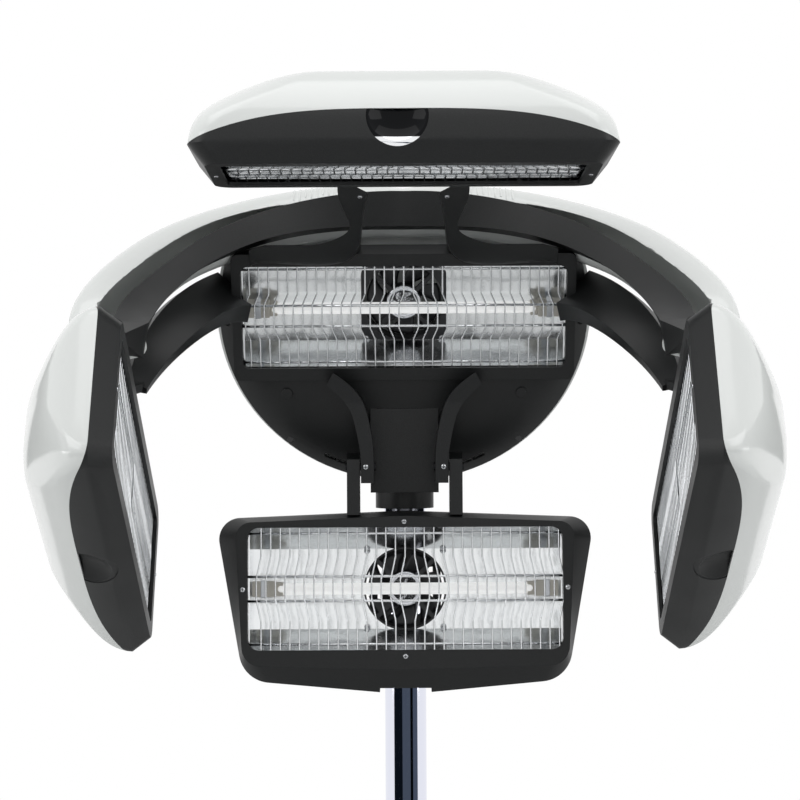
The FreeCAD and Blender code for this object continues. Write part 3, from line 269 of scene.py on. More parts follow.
# %% Powder coat
def powder_coat(name, code):
    """Powder-coated steel: satin with an orange peel of about two millimetres."""
    material, tree, place = new_material(name)
    peel = add_node(tree, "ShaderNodeTexNoise", None,
                    {"Vector": place, "Scale": per_metre(2.0), "Detail": 1.0})
    cloud = add_node(tree, "ShaderNodeTexNoise", None,
                     {"Vector": place, "Scale": per_metre(90.0), "Detail": 2.0})
    rough = add_node(tree, "ShaderNodeMapRange", None,
                     {"Value": cloud.outputs[0], "To Min": 0.30, "To Max": 0.48})
    bump = add_node(tree, "ShaderNodeBump", None,
                    {"Height": peel.outputs[0], "Distance": 0.12 * MM, "Strength": 0.4})
    shader = add_node(tree, "ShaderNodeBsdfPrincipled", None,
                      {"Base Color": hex_colour(code), "IOR": 1.5,
                       "Roughness": rough.outputs[0], "Normal": bump.outputs[0]})
    add_node(tree, "ShaderNodeOutputMaterial", None, {"Surface": shader.outputs[0]})
    return material


BASE_COAT = powder_coat("steel_powder_coated", "#222326")
print(BASE_COAT.name)

# %% [markdown]
# ## Quartz, ceramic and rubber
# A quartz heat lamp has a thin, milky tube with pressed steatite blocks on its ends. Ceramic,
# rubber and the fans' PBT are matte and grainy, and one function with the size of the grain
# serves them.

# %% Quartz and pressed materials
QUARTZ_PAINTED_GLOW = 0.38


def quartz():
    """Fused quartz tube, milky; the light that the trough bounces onto the unlit tube is painted on as a faint
    glow.
    """
    material, tree, place = new_material("quartz_drawn_tube")
    haze = add_node(tree, "ShaderNodeTexNoise", None,
                    {"Vector": place, "Scale": per_metre(12.0), "Detail": 2.0})
    rough = add_node(tree, "ShaderNodeMapRange", None,
                     {"Value": haze.outputs[0], "To Min": 0.06, "To Max": 0.22})
    # The lamp is unlit: this emission is painted light, standing for the light the white trough bounces onto the
    # tube.
    shader = add_node(tree, "ShaderNodeBsdfPrincipled", None,
                      {"Base Color": hex_colour("#F7F8F7"), "IOR": 1.46,
                       "Transmission Weight": 0.12, "Roughness": rough.outputs[0],
                       "Emission Color": hex_colour("#FFFFFF"),
                       "Emission Strength": QUARTZ_PAINTED_GLOW})
    add_node(tree, "ShaderNodeOutputMaterial", None, {"Surface": shader.outputs[0]})
    return material


def pressed(name, code, roughness, grain_mm, depth_mm):
    """A pressed or moulded matte material with a visible grain, such as ceramic or rubber."""
    material, tree, place = new_material(name)
    grain = add_node(tree, "ShaderNodeTexNoise", None,
                     {"Vector": place, "Scale": per_metre(grain_mm), "Detail": 3.0})
    light = hex_colour(code)
    dark = tuple(c * 0.8 for c in light[:3]) + (1.0,)
    colour = add_node(tree, "ShaderNodeMix", RGBA,
                      {MIX_FACTOR: grain.outputs[0], MIX_A: dark, MIX_B: light})
    bump = add_node(tree, "ShaderNodeBump", None,
                    {"Height": grain.outputs[0], "Distance": depth_mm * MM, "Strength": 0.4})
    shader = add_node(tree, "ShaderNodeBsdfPrincipled", None,
                      {"Base Color": colour.outputs[MIX_COLOUR], "Roughness": roughness,
                       "Normal": bump.outputs[0]})
    add_node(tree, "ShaderNodeOutputMaterial", None, {"Surface": shader.outputs[0]})
    return material


QUARTZ = quartz()
STEATITE = pressed("steatite_pressed", "#DCD8CE", 0.62, 0.8, 0.08)
FAN_PLASTIC = pressed("pbt_black_moulded", "#222326", 0.42, 0.8, 0.05)
BUTTON_RUBBER = pressed("silicone_grey_moulded", "#6E7276", 0.55, 0.6, 0.05)
PALE_PRINT = pressed("silicone_pale_moulded", "#D8DBDC", 0.5, 0.6, 0.03)
WHEEL_RUBBER = pressed("polyurethane_black_cast", "#26272A", 0.5, 1.2, 0.06)
print("materials:", len(bpy.data.materials))

# %% [markdown]
# The finger grip of the top lamp is plated ABS. The bright highlight on its lower lip and the dark reflection in
# the bowl above it are painted: the lip stays bright chrome and the bowl is painted nearly black. The line between
# them runs level, so the height of a point places it.

# %% Plated grip
LIP_HEIGHT = 8.0 * MM
LIP_BLEND = 0.6 * MM


def grip_with_painted_reflection(node):
    """Chromed lower lip as a painted highlight and a near-black bowl as a painted dark reflection, for the grip of
    the top lamp.
    """
    foot = min(v.co.z for v in frame["nodes"][node].data.vertices)
    material, tree, place = new_material("abs_chromed_painted_reflection")
    height = add_node(tree, "ShaderNodeSeparateXYZ", None, {"Vector": place})
    lip = add_node(tree, "ShaderNodeMapRange", None,
                   {"Value": height.outputs["Z"], "From Min": foot + LIP_HEIGHT,
                    "From Max": foot + LIP_HEIGHT + LIP_BLEND, "To Min": 1.0, "To Max": 0.0})
    # Painted reflection: near-black for the bowl above the line, bright chrome for the lip below it, which carries
    # the painted highlight.
    colour = add_node(tree, "ShaderNodeMix", RGBA,
                      {MIX_FACTOR: lip.outputs[0], MIX_A: hex_colour("#04060A"),
                       MIX_B: hex_colour("#F0F1F3")})
    haze = add_node(tree, "ShaderNodeTexNoise", None,
                    {"Vector": place, "Scale": per_metre(20.0), "Detail": 2.0})
    rough = add_node(tree, "ShaderNodeMapRange", None,
                     {"Value": haze.outputs[0], "To Min": 0.04, "To Max": 0.10})
    shader = add_node(tree, "ShaderNodeBsdfPrincipled", None,
                      {"Base Color": colour.outputs[MIX_COLOUR], "Metallic": lip.outputs[0],
                       "Roughness": rough.outputs[0], "Specular IOR Level": 0.12})
    add_node(tree, "ShaderNodeOutputMaterial", None, {"Surface": shader.outputs[0]})
    return material


GRIP_PAINTED_REFLECTION = grip_with_painted_reflection("top_grip")
print(GRIP_PAINTED_REFLECTION.name)

# %% [markdown]
# ## Smooth copies of the moulded shells
# A CAD node arrives as loose triangles, so light shows every facet. Each hard piece is copied,
# its doubled corners are merged, and its gentle edges are marked smooth while real corners stay
# crisp. The copy stands for the node and rides on the same body.

# %% Refined CAD pieces
SMOOTH_ANGLE = math.radians(28.0)
MERGE_DISTANCE = 0.02 * MM


def islands(work):
    """Groups of connected vertices."""
    left = set(work.verts)
    groups = []
    while left:
        front = [left.pop()]
        group = list(front)
        while front:
            vertex = front.pop()
            for edge in vertex.link_edges:
                other = edge.other_vert(vertex)
                if other in left:
                    left.discard(other)
                    front.append(other)
                    group.append(other)
        groups.append(group)
    return groups


def refined(node, material, name=None, keep=None):
    """A merged and smooth-shaded copy of a CAD node, or of the islands of it that keep chooses."""
    mesh = frame["nodes"][node].data.copy()
    work = bmesh.new()
    work.from_mesh(mesh)
    bmesh.ops.remove_doubles(work, verts=work.verts, dist=MERGE_DISTANCE)
    if keep is not None:
        drop = [v for island in islands(work) if not keep(island) for v in island]
        bmesh.ops.delete(work, geom=drop, context="VERTS")
    for face in work.faces:
        face.smooth = True
    for edge in work.edges:
        edge.smooth = len(edge.link_faces) == 2 and edge.calc_face_angle(0.0) < SMOOTH_ANGLE
    work.to_mesh(mesh)
    work.free()
    mesh.materials.clear()
    mesh.materials.append(material)
    piece = in_scene(name or node + "_shown", mesh)
    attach(piece, body_of_node[node])
    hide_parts(node)


FINISHES = {"housing": BLACK_ABS, "shell": WHITE_ABS, "grip": GRIP_PAINTED_REFLECTION, "back": BLACK_ABS,
            "front_frame": BLACK_ABS, "rear_shell": WHITE_ABS, "top_arms": BLACK_ABS,
            "nape_arms": BLACK_ABS, "head_screws": BLACK_GLOSS, "chassis_plate": ZINC,
            "control_panel": BLACK_ABS, "display_window": DISPLAY, "power_inlet": BLACK_ABS,
            "start_button": BUTTON_RUBBER, "plus_button": BUTTON_RUBBER,
            "minus_button": BUTTON_RUBBER, "power_switch": BLACK_GLOSS,
            "lamp_hinge_pins": BLACKENED, "tilt_axle": TURNED_STEEL, "swivel_head": BLACK_ABS,
            "mast_tube": CHROMED_TUBE, "column_tube": BASE_COAT, "clamp_collar": BLACK_ABS,
            "clamp_knob": BLACK_ABS, "base_star": BASE_COAT, "caster_fork": BLACK_ABS,
            "caster_wheels": WHEEL_RUBBER}


def finish_of(node):
    """The finish named for a node, or for its kind when a loop made it."""
    if node in FINISHES:
        return FINISHES[node]
    if node.startswith("caster_"):
        return FINISHES[node.rsplit("_", 1)[0]]
    return FINISHES[node.split("_", 1)[1]]


DETAILED = ("_grille", "_reflector", "_lamp", "_fan")

smoothed = [node for node in sorted(frame["nodes"]) if not node.endswith(DETAILED)]
for node in smoothed:
    refined(node, finish_of(node))
print("refined:", len(smoothed))

# %% [markdown]
# ## Where the lamps stand
# Each lamp unit has its own frame: x along its long side, y across it and z out of its back. The
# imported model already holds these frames, in the axes of the fans and of the hinges, so they are
# read from there and not typed again.

# %% Lamp frames
JOINTS = {joint["name"]: joint for joint in frame["joints"]}


def lamp_frame(lamp):
    """A matrix from a lamp's own frame to the object's."""
    fan = JOINTS[lamp + "_fan_spin"]
    back = Vector(fan["axis"]).normalized()
    side = Vector((-1.0, 0.0, 0.0))
    if lamp == "left":
        side = Vector(JOINTS["left_lamp_swing"]["axis"]).normalized()
    elif lamp == "right":
        side = -Vector(JOINTS["right_lamp_swing"]["axis"]).normalized()
    up = back.cross(side)
    matrix = Matrix((side, up, back)).transposed().to_4x4()
    matrix.translation = Vector(fan["pos_m"])
    return matrix


LAMPS = ("center", "top", "nape", "left", "right")
LAMP_BODY = {lamp: body_of_node[lamp + "_grille"] for lamp in LAMPS}
LAMP_FRAME = {lamp: lamp_frame(lamp) for lamp in LAMPS}


def local_box(node, lamp):
    """Lowest and highest corner of a CAD node in its lamp's frame."""
    inverse = LAMP_FRAME[lamp].inverted()
    points = [inverse @ v.co for v in frame["nodes"][node].data.vertices]
    low = Vector(min(p[i] for p in points) for i in range(3))
    high = Vector(max(p[i] for p in points) for i in range(3))
    return low, high


def add_piece(name, mesh, material, body, *nodes, matrix=None, smooth=True):
    """Put a finished mesh into the scene, riding on a body and standing for any nodes named.

    A material of None keeps the mesh's own materials."""
    if matrix is not None:
        mesh.transform(matrix)
    if material is not None:
        mesh.materials.clear()
        mesh.materials.append(material)
    for polygon in mesh.polygons:
        polygon.use_smooth = smooth
    piece = in_scene(name, mesh)
    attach(piece, body)
    if nodes:
        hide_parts(*nodes)
    return piece


for lamp in LAMPS:
    print(lamp, "faces", [round(v, 2) for v in LAMP_FRAME[lamp].col[2][:3]])

# %% [markdown]
# ## Wire grilles
# A heat lamp's guard is a row of chromed wires, each cranked sideways where the tube glows, spot
# welded to rails behind. One cranked wire is drawn as a short chain of edges. Geometry Nodes round
# its bends, give it thickness, and repeat it along the lamp: one half turned the other way round,
# as the welding jig does it. Realize Instances makes it one real mesh at the end.

# %% Grille node tree
WIRE_RADIUS = 0.75 * MM
WIRE_PITCH = 8.9 * MM
WIRE_STEP = 4.5 * MM
WIRE_BEND = 4.0 * MM


def node_group(name, inputs):
    """An empty Geometry Nodes group with named inputs, and the sockets that give their values."""
    tree = bpy.data.node_groups.new(name, "GeometryNodeTree")
    tree.interface.new_socket("Geometry", in_out="OUTPUT", socket_type="NodeSocketGeometry")
    for label, kind, value in inputs:
        item = tree.interface.new_socket(label, in_out="INPUT", socket_type="NodeSocket" + kind)
        if value is not None:
            item.default_value = value
    return tree, add_node(tree, "NodeGroupInput").outputs


def grille_tree():
    """Wires of one shape in a row, the second half turned the other way round."""
    tree, given = node_group("wire_grille", [
        ("Wire", "Geometry", None), ("Wires each side", "Int", 16),
        ("Pitch", "Float", WIRE_PITCH), ("Wire radius", "Float", WIRE_RADIUS),
        ("Bend radius", "Float", WIRE_BEND), ("Finish", "Material", None)])
    path = add_node(tree, "GeometryNodeMeshToCurve", None, {"Mesh": given["Wire"]})
    soft = add_node(tree, "GeometryNodeFilletCurve", {"mode": "POLY"},
                    {"Curve": path.outputs[0], "Radius": given["Bend radius"], "Count": 3})
    ring = add_node(tree, "GeometryNodeCurvePrimitiveCircle", None,
                    {"Resolution": 8, "Radius": given["Wire radius"]})
    wire = add_node(tree, "GeometryNodeCurveToMesh", None,
                    {"Curve": soft.outputs[0], "Profile Curve": ring.outputs[0],
                     "Fill Caps": True})
    minus = add_node(tree, "ShaderNodeMath", {"operation": "MULTIPLY"}, {0: given["Pitch"], 1: -1.0})
    sides = []
    for step, turn, first in ((given["Pitch"], 0.0, 0), (minus.outputs[0], math.pi, 1)):
        offset = add_node(tree, "ShaderNodeCombineXYZ", None, {"X": step})
        start = add_node(tree, "ShaderNodeVectorMath", {"operation": "SCALE"},
                         {0: offset.outputs[0], "Scale": float(first)})
        row = add_node(tree, "GeometryNodeMeshLine", None,
                       {"Count": given["Wires each side"], "Start Location": start.outputs[0],
                        "Offset": offset.outputs[0]})
        copies = add_node(tree, "GeometryNodeInstanceOnPoints", None,
                          {"Points": row.outputs[0], "Instance": wire.outputs[0],
                           "Rotation": (0.0, 0.0, turn)})
        sides.append(copies)
    both = add_node(tree, "GeometryNodeJoinGeometry")
    for copies in sides:
        tree.links.new(copies.outputs[0], both.inputs[0])
    real = add_node(tree, "GeometryNodeRealizeInstances", None, {"Geometry": both.outputs[0]})
    smooth = add_node(tree, "GeometryNodeSetShadeSmooth", None, {"Geometry": real.outputs[0]})
    done = add_node(tree, "GeometryNodeSetMaterial", None,
                    {"Geometry": smooth.outputs[0], "Material": given["Finish"]})
    add_node(tree, "NodeGroupOutput", None, {0: done.outputs[0]})
    return tree


def evaluated(name, base, tree, settings):
    """The plain mesh that a node tree makes from a small base mesh."""
    carrier = in_scene(name + "_base", base)
    modifier = carrier.modifiers.new("nodes", "NODES")
    modifier.node_group = tree
    keys = {item.name: item.identifier for item in tree.interface.items_tree
            if item.item_type == "SOCKET" and item.in_out == "INPUT"}
    for label, value in settings.items():
        modifier[keys[label]] = value
    depsgraph = bpy.context.evaluated_depsgraph_get()
    mesh = bpy.data.meshes.new_from_object(carrier.evaluated_get(depsgraph))
    carrier.modifiers.clear()
    bpy.data.objects.remove(carrier)
    return mesh


GRILLE_TREE = grille_tree()
print("grille tree:", len(GRILLE_TREE.nodes), "nodes")

# %% Grilles
RAIL_RADIUS = 1.2 * MM
RAIL_SHARES = (-0.86, -0.19, 0.19, 0.86)
END_MARGIN = 8.0 * MM
BENDS = {"nape": (0.50, 0.15)}
USUAL_BENDS = (0.42, 0.22)


def mesh_of(work, name):
    """A new mesh with what a bmesh holds, which is then freed."""
    mesh = bpy.data.meshes.new(name)
    work.to_mesh(mesh)
    work.free()
    return mesh


def rod(start, end, radius):
    """A closed round rod between two points."""
    work = bmesh.new()
    bmesh.ops.create_cone(work, cap_ends=True, segments=10, radius1=radius, radius2=radius,
                          depth=(end - start).length)
    turn = (end - start).to_track_quat("Z", "Y").to_matrix().to_4x4()
    turn.translation = (start + end) / 2.0
    work.transform(turn)
    return mesh_of(work, "rod")


def joined(name, meshes):
    """Several meshes as one, keeping each one's material slots."""
    objects = [in_scene(name, mesh) for mesh in meshes]
    with bpy.context.temp_override(active_object=objects[0], selected_editable_objects=objects):
        bpy.ops.object.join()
    mesh = objects[0].data
    bpy.data.objects.remove(objects[0])
    return mesh


def grille(lamp):
    """A lamp's wires and rails, in the place of its plain CAD grille."""
    low, high = local_box(lamp + "_grille", lamp)
    half_width = (high.y - low.y) / 2.0
    half_length = high.x
    level = low.z + WIRE_RADIUS
    outer, inner = BENDS.get(lamp, USUAL_BENDS)
    middle = (high.y + low.y) / 2.0
    count = int((half_length - END_MARGIN) / WIRE_PITCH)
    points = [(0, half_width, level), (0, outer * half_width, level),
              (WIRE_STEP, inner * half_width, level), (WIRE_STEP, -inner * half_width, level),
              (0, -outer * half_width, level), (0, -half_width, level)]
    points = [(x, y + middle, z) for x, y, z in points]
    path = bpy.data.meshes.new("wire")
    path.from_pydata(points, [(i, i + 1) for i in range(len(points) - 1)], [])
    wires = evaluated(lamp + "_wires", path, GRILLE_TREE,
                      {"Wires each side": count + 1, "Pitch": WIRE_PITCH,
                       "Wire radius": WIRE_RADIUS, "Bend radius": WIRE_BEND,
                       "Finish": CHROMED_WIRE})
    rails = []
    height = level + WIRE_RADIUS + RAIL_RADIUS
    for share in RAIL_SHARES:
        y = middle + share * half_width
        rails.append(rod(Vector((-half_length, y, height)), Vector((half_length, y, height)),
                         RAIL_RADIUS))
    mesh = joined(lamp + "_grille", [wires] + rails)
    return add_piece(lamp + "_wire_grille", mesh, CHROMED_WIRE, LAMP_BODY[lamp],
                     lamp + "_grille", matrix=LAMP_FRAME[lamp])


for lamp in LAMPS:
    piece = grille(lamp)
    print(piece.name, len(piece.data.polygons), "faces")

# %% [markdown]
# ## Reflectors
# The trough is folded from bright sheet. Its CAD node holds two solids, the sheet and the square
# frame of the fan behind it; they come apart here, because one is bare metal and one is plastic.

# %% Reflectors and fan frames
SHEET_SPAN = 0.2


def span(island):
    """The longest side of an island's box."""
    axes = [[v.co[axis] for v in island] for axis in range(3)]
    return max(max(values) - min(values) for values in axes)


for lamp in LAMPS:
    node = lamp + "_reflector"
    refined(node, ALUMINIUM, lamp + "_reflector_sheet", lambda island: span(island) > SHEET_SPAN)
    refined(node, FAN_PLASTIC, lamp + "_fan_frame", lambda island: span(island) < SHEET_SPAN)
print("reflectors:", len(LAMPS))

# %% [markdown]
# ## Quartz lamps
# An infrared lamp is a quartz tube with a coiled tungsten filament along its axis and a steatite
# block pressed on each end. The coil is one long helix made a tube. A zinc-plated clip and band
# hold each end block.

# %% Quartz tubes, filaments and ends
TUBE_RADIUS = 5.5 * MM
FILAMENT_RADIUS = 1.6 * MM
FILAMENT_WIRE = 0.45 * MM
FILAMENT_PITCH = 2.6 * MM
FILAMENT_END = 8.0 * MM
BLOCK_LENGTH = 22.0 * MM
BLOCK_TALL = 6.5 * MM
NECK_LENGTH = 7.0 * MM
WELD = 0.001 * MM


def lathe(name, profile, sides=32):
    """A closed solid turned about x, from points of (x, radius).

    The points begin and end on the axis, or where they began."""
    work = bmesh.new()
    rings = []
    for x, radius in profile:
        if radius == 0.0:
            rings.append([work.verts.new((x, 0.0, 0.0))])
            continue
        ring = []
        for i in range(sides):
            a = 2.0 * math.pi * i / sides
            ring.append(work.verts.new((x, radius * math.cos(a), radius * math.sin(a))))
        rings.append(ring)
    for first, second in zip(rings, rings[1:]):
        for i in range(sides):
            j = (i + 1) % sides
            corners = {first[i % len(first)]: None, first[j % len(first)]: None,
                       second[j % len(second)]: None, second[i % len(second)]: None}
            if len(corners) > 2:
                work.faces.new(list(corners))
    bmesh.ops.remove_doubles(work, verts=work.verts, dist=WELD)
    bmesh.ops.recalc_face_normals(work, faces=work.faces)
    return mesh_of(work, name)


def helix(name, length, radius, wire, pitch, steps=8, sides=5):
    """A coil of round wire along x."""
    work = bmesh.new()
    count = int(length / pitch * steps)
    previous = None
    for k in range(count + 1):
        a = 2.0 * math.pi * k / steps
        centre = Vector((-length / 2.0 + length * k / count, radius * math.cos(a),
                         radius * math.sin(a)))
        outward = Vector((0.0, math.cos(a), math.sin(a)))
        ring = []
        for i in range(sides):
            b = 2.0 * math.pi * i / sides
            ring.append(work.verts.new(centre + outward * (wire * math.cos(b))
                                       + Vector((wire * math.sin(b), 0.0, 0.0))))
        if previous:
            for i in range(sides):
                j = (i + 1) % sides
                work.faces.new((previous[i], previous[j], ring[j], ring[i]))
        previous = ring
        if k == 0:
            work.faces.new(ring)
    work.faces.new(reversed(previous))
    bmesh.ops.recalc_face_normals(work, faces=work.faces)
    return mesh_of(work, name)


def soft_block(name, low, high, bevel, segments=2):
    """A box with rounded edges."""
    work = bmesh.new()
    bmesh.ops.create_cube(work, size=1.0)
    size = Vector(high) - Vector(low)
    middle = (Vector(high) + Vector(low)) / 2.0
    bmesh.ops.scale(work, vec=size, verts=work.verts)
    bmesh.ops.translate(work, vec=middle, verts=work.verts)
    bmesh.ops.bevel(work, geom=work.edges[:], offset=bevel, segments=segments,
                    affect="EDGES", profile=0.5)
    return mesh_of(work, name)


def end_block(side, near, far, wide, heights, bevel, segments=2):
    """A soft block from near to far along x on one side, and to wide on both sides of y."""
    start, end = sorted((side * near, side * far))
    low, high = heights
    return soft_block("block", (start, -wide, low), (end, wide, high), bevel, segments)


def quartz_lamp(lamp):
    """A lamp's tube, filament, ceramic end blocks, and the clips that hold them."""
    low, high = local_box(lamp + "_lamp", lamp)
    end = high.x
    half = end - BLOCK_LENGTH
    level = low.z + BLOCK_TALL
    at_level = LAMP_FRAME[lamp] @ Matrix.Translation((0.0, 0.0, level))
    body = LAMP_BODY[lamp]
    r = TUBE_RADIUS
    tube = lathe(lamp + "_quartz_tube",
                 [(-half, 0.0), (-half, 0.7 * r), (-half + 4 * MM, r), (-6 * MM, r),
                  (6 * MM, r), (half - 4 * MM, r), (half, 0.7 * r), (half, 0.0)])
    add_piece(lamp + "_quartz_tube", tube, QUARTZ, body, lamp + "_lamp", matrix=at_level)
    coil = helix(lamp + "_filament", 2 * (half - FILAMENT_END), FILAMENT_RADIUS, FILAMENT_WIRE,
                 FILAMENT_PITCH)
    add_piece(lamp + "_filament", coil, FILAMENT, body, matrix=at_level)
    ends, clips = [], []
    middle = half + BLOCK_LENGTH / 2.0
    for side in (-1, 1):
        ends.append(end_block(side, half, end, 7.5 * MM, (-BLOCK_TALL, BLOCK_TALL), 1.2 * MM))
        ends.append(end_block(side, half - NECK_LENGTH, half, 6.4 * MM, (-4.6 * MM, 4.6 * MM),
                              0.8 * MM))
        clips.append(end_block(side, middle - 2 * MM, middle + 2 * MM, 5 * MM,
                               (BLOCK_TALL, high.z - level), 0.4 * MM, 1))
        clips.append(end_block(side, middle - 3 * MM, middle + 3 * MM, 8.1 * MM,
                               (-7.1 * MM, 7.1 * MM), 1.0 * MM))
    add_piece(lamp + "_ceramic_ends", joined("ends", ends), STEATITE, body, matrix=at_level,
              smooth=False)
    add_piece(lamp + "_lamp_clips", joined("clips", clips), ZINC, body, matrix=at_level,
              smooth=False)


for lamp in LAMPS:
    quartz_lamp(lamp)
print("quartz lamps:", len(LAMPS))

# %% [markdown]
# ## Fans
# Behind each reflector turns an eighty millimetre fan. Its blades are thin, curved and twisted:
# steep at the hub and flat at the tip. One blade is a small grid of points that follow this rule,
# given thickness and copied round the hub by the node tree.

# %% Fan rotors
FAN_BLADES = 7
HUB_RADIUS = 16.0 * MM
HUB_FACE = 14.6 * MM
HUB_ROUND = 1.4 * MM
BLADE_THICKNESS = 1.2 * MM
BLADE_ROOT = 0.97
BLADE_SWEEP = 20.0
BLADE_WIDTH = 34.0
BLADE_SPREAD = 8.0
BLADE_CURL = 0.12
TIP_GAP = 0.4 * MM
BLADE_INSET = 2.2 * MM


def rotor_tree():
    """One blade thickened, welded and copied round the hub."""
    tree, given = node_group("fan_blades", [
        ("Blade", "Geometry", None), ("Blades", "Int", FAN_BLADES),
        ("Thickness", "Float", BLADE_THICKNESS), ("Finish", "Material", None)])
    thick = add_node(tree, "GeometryNodeExtrudeMesh", None,
                     {"Mesh": given["Blade"], "Offset Scale": given["Thickness"],
                      "Individual": False})
    flipped = add_node(tree, "GeometryNodeFlipFaces", None, {"Mesh": given["Blade"]})
    closed = add_node(tree, "GeometryNodeJoinGeometry")
    tree.links.new(thick.outputs[0], closed.inputs[0])
    tree.links.new(flipped.outputs[0], closed.inputs[0])
    welded = add_node(tree, "GeometryNodeMergeByDistance", None,
                      {"Geometry": closed.outputs[0], "Distance": 0.00001})
    points = add_node(tree, "GeometryNodePoints", None, {"Count": given["Blades"]})
    index = add_node(tree, "GeometryNodeInputIndex")
    turn = add_node(tree, "ShaderNodeMath", {"operation": "DIVIDE"},
                    {0: 2.0 * math.pi, 1: given["Blades"]})
    angle = add_node(tree, "ShaderNodeMath", {"operation": "MULTIPLY"},
                     {0: index.outputs[0], 1: turn.outputs[0]})
    spin = add_node(tree, "ShaderNodeCombineXYZ", None, {"Z": angle.outputs[0]})
    copies = add_node(tree, "GeometryNodeInstanceOnPoints", None,
                      {"Points": points.outputs[0], "Instance": welded.outputs[0],
                       "Rotation": spin.outputs[0]})
    real = add_node(tree, "GeometryNodeRealizeInstances", None, {"Geometry": copies.outputs[0]})
    done = add_node(tree, "GeometryNodeSetMaterial", None,
                    {"Geometry": real.outputs[0], "Material": given["Finish"]})
    add_node(tree, "NodeGroupOutput", None, {0: done.outputs[0]})
    return tree


ROTOR_TREE = rotor_tree()


def blade_grid(hub, tip, low, high, rows=7, columns=6):
    """Points and faces of one twisted blade between hub and tip radius."""
    points, faces = [], []
    root = hub * BLADE_ROOT
    for i in range(rows):
        share = i / (rows - 1)
        radius = root + (tip - root) * share
        sweep = math.radians(BLADE_SWEEP * share)
        width = math.radians(BLADE_WIDTH + BLADE_SPREAD * share)
        for j in range(columns):
            along = j / (columns - 1)
            a = sweep + width * (along - 0.5)
            curl = BLADE_CURL * math.sin(math.pi * along)
            z = low + (high - low) * (along + curl * (1 - along))
            points.append((radius * math.cos(a), radius * math.sin(a), min(z, high)))
    for i in range(rows - 1):
        for j in range(columns - 1):
            a = i * columns + j
            faces.append((a, a + columns, a + columns + 1, a + 1))
    return points, faces


def fan_rotor(lamp):
    """A lamp's fan: blades from the node tree round a turned hub."""
    low, high = local_box(lamp + "_fan", lamp)
    hub = HUB_RADIUS
    points, faces = blade_grid(hub, high.x - TIP_GAP, low.z + BLADE_INSET, high.z - BLADE_INSET)
    base = bpy.data.meshes.new("blade")
    base.from_pydata(points, [], faces)
    blades = evaluated("blade", base, ROTOR_TREE,
                       {"Finish": FAN_PLASTIC, "Blades": FAN_BLADES,
                        "Thickness": BLADE_THICKNESS})
    thick = high.z - low.z
    cup = lathe("hub", [(0.0, 0.0), (0.0, HUB_FACE), (HUB_ROUND, hub), (thick - HUB_ROUND, hub),
                        (thick, HUB_FACE), (thick, 0.0)], 40)
    cup.transform(Matrix.Rotation(math.radians(-90.0), 4, "Y"))
    cup.transform(Matrix.Translation((0.0, 0.0, low.z)))
    mesh = joined(lamp + "_fan_rotor", [blades, cup])
    return add_piece(lamp + "_fan_rotor", mesh, FAN_PLASTIC, lamp + "_fan", lamp + "_fan",
                     matrix=LAMP_FRAME[lamp])


for lamp in LAMPS:
    print(fan_rotor(lamp).name)

# %% [markdown]
# ## Small hardware
# Pan-head screws hold the faces, arms and reflectors. A ray cast onto the CAD piece that a screw holds finds its
# seat, so it sits on the real surface and faces along its normal. One head with a cross recess is drawn as a
# raised dark cross: painted shade where the recess would be. The node tree puts a copy on every seat and gives it
# the steel finish and the dark paint of the recess.

# %% Seats on the CAD pieces
TREES = {}
RAY_START = 0.2


def seat(node, start, direction):
    """Where a ray first meets a CAD node, and the surface's normal there."""
    if node not in TREES:
        mesh = frame["nodes"][node].data
        TREES[node] = BVHTree.FromPolygons([v.co for v in mesh.vertices],
                                           [p.vertices for p in mesh.polygons])
    place, normal, _, _ = TREES[node].ray_cast(Vector(start), Vector(direction).normalized())
    if place is None:
        return None
    if normal.dot(Vector(direction)) > 0.0:
        normal = -normal
    return place, normal


def lamp_seats(lamp, node, places):
    """Seats found along a lamp's axis at places (x, y) in its own frame, in millimetres."""
    matrix = LAMP_FRAME[lamp]
    back = matrix.to_3x3() @ Vector((0.0, 0.0, 1.0))
    found = [seat(node, matrix @ Vector((x * MM, y * MM, -RAY_START)), back) for x, y in places]
    return [place for place in found if place]


print("a seat:", lamp_seats("nape", "nape_housing", [(0.0, 61.6)]))

# %% Screw node tree
def screw_tree():
    """A copy of one screw on each seat, turned to face along the seat's normal."""
    tree, given = node_group("screws", [
        ("Seats", "Geometry", None), ("Screw", "Object", None), ("Finish", "Material", None),
        ("Recess painted shade", "Material", None)])
    shape = add_node(tree, "GeometryNodeObjectInfo", None, {"Object": given["Screw"]})
    facing = add_node(tree, "GeometryNodeInputNamedAttribute", {"data_type": "FLOAT_VECTOR"},
                      {"Name": "facing"})
    turn = add_node(tree, "FunctionNodeAlignRotationToVector", {"axis": "Z"},
                    {"Vector": facing.outputs[0]})
    copies = add_node(tree, "GeometryNodeInstanceOnPoints", None,
                      {"Points": given["Seats"], "Instance": shape.outputs["Geometry"],
                       "Rotation": turn.outputs[0]})
    real = add_node(tree, "GeometryNodeRealizeInstances", None, {"Geometry": copies.outputs[0]})
    head = add_node(tree, "GeometryNodeSetMaterial", None,
                    {"Geometry": real.outputs[0], "Material": given["Finish"]})
    # The faces of the cross are painted dark: painted shade standing for the recess.
    recess = add_node(tree, "GeometryNodeInputNamedAttribute", {"data_type": "BOOLEAN"},
                      {"Name": "recess"})
    done = add_node(tree, "GeometryNodeSetMaterial", None,
                    {"Geometry": head.outputs[0], "Selection": recess.outputs[0],
                     "Material": given["Recess painted shade"]})
    add_node(tree, "NodeGroupOutput", None, {0: done.outputs[0]})
    return tree


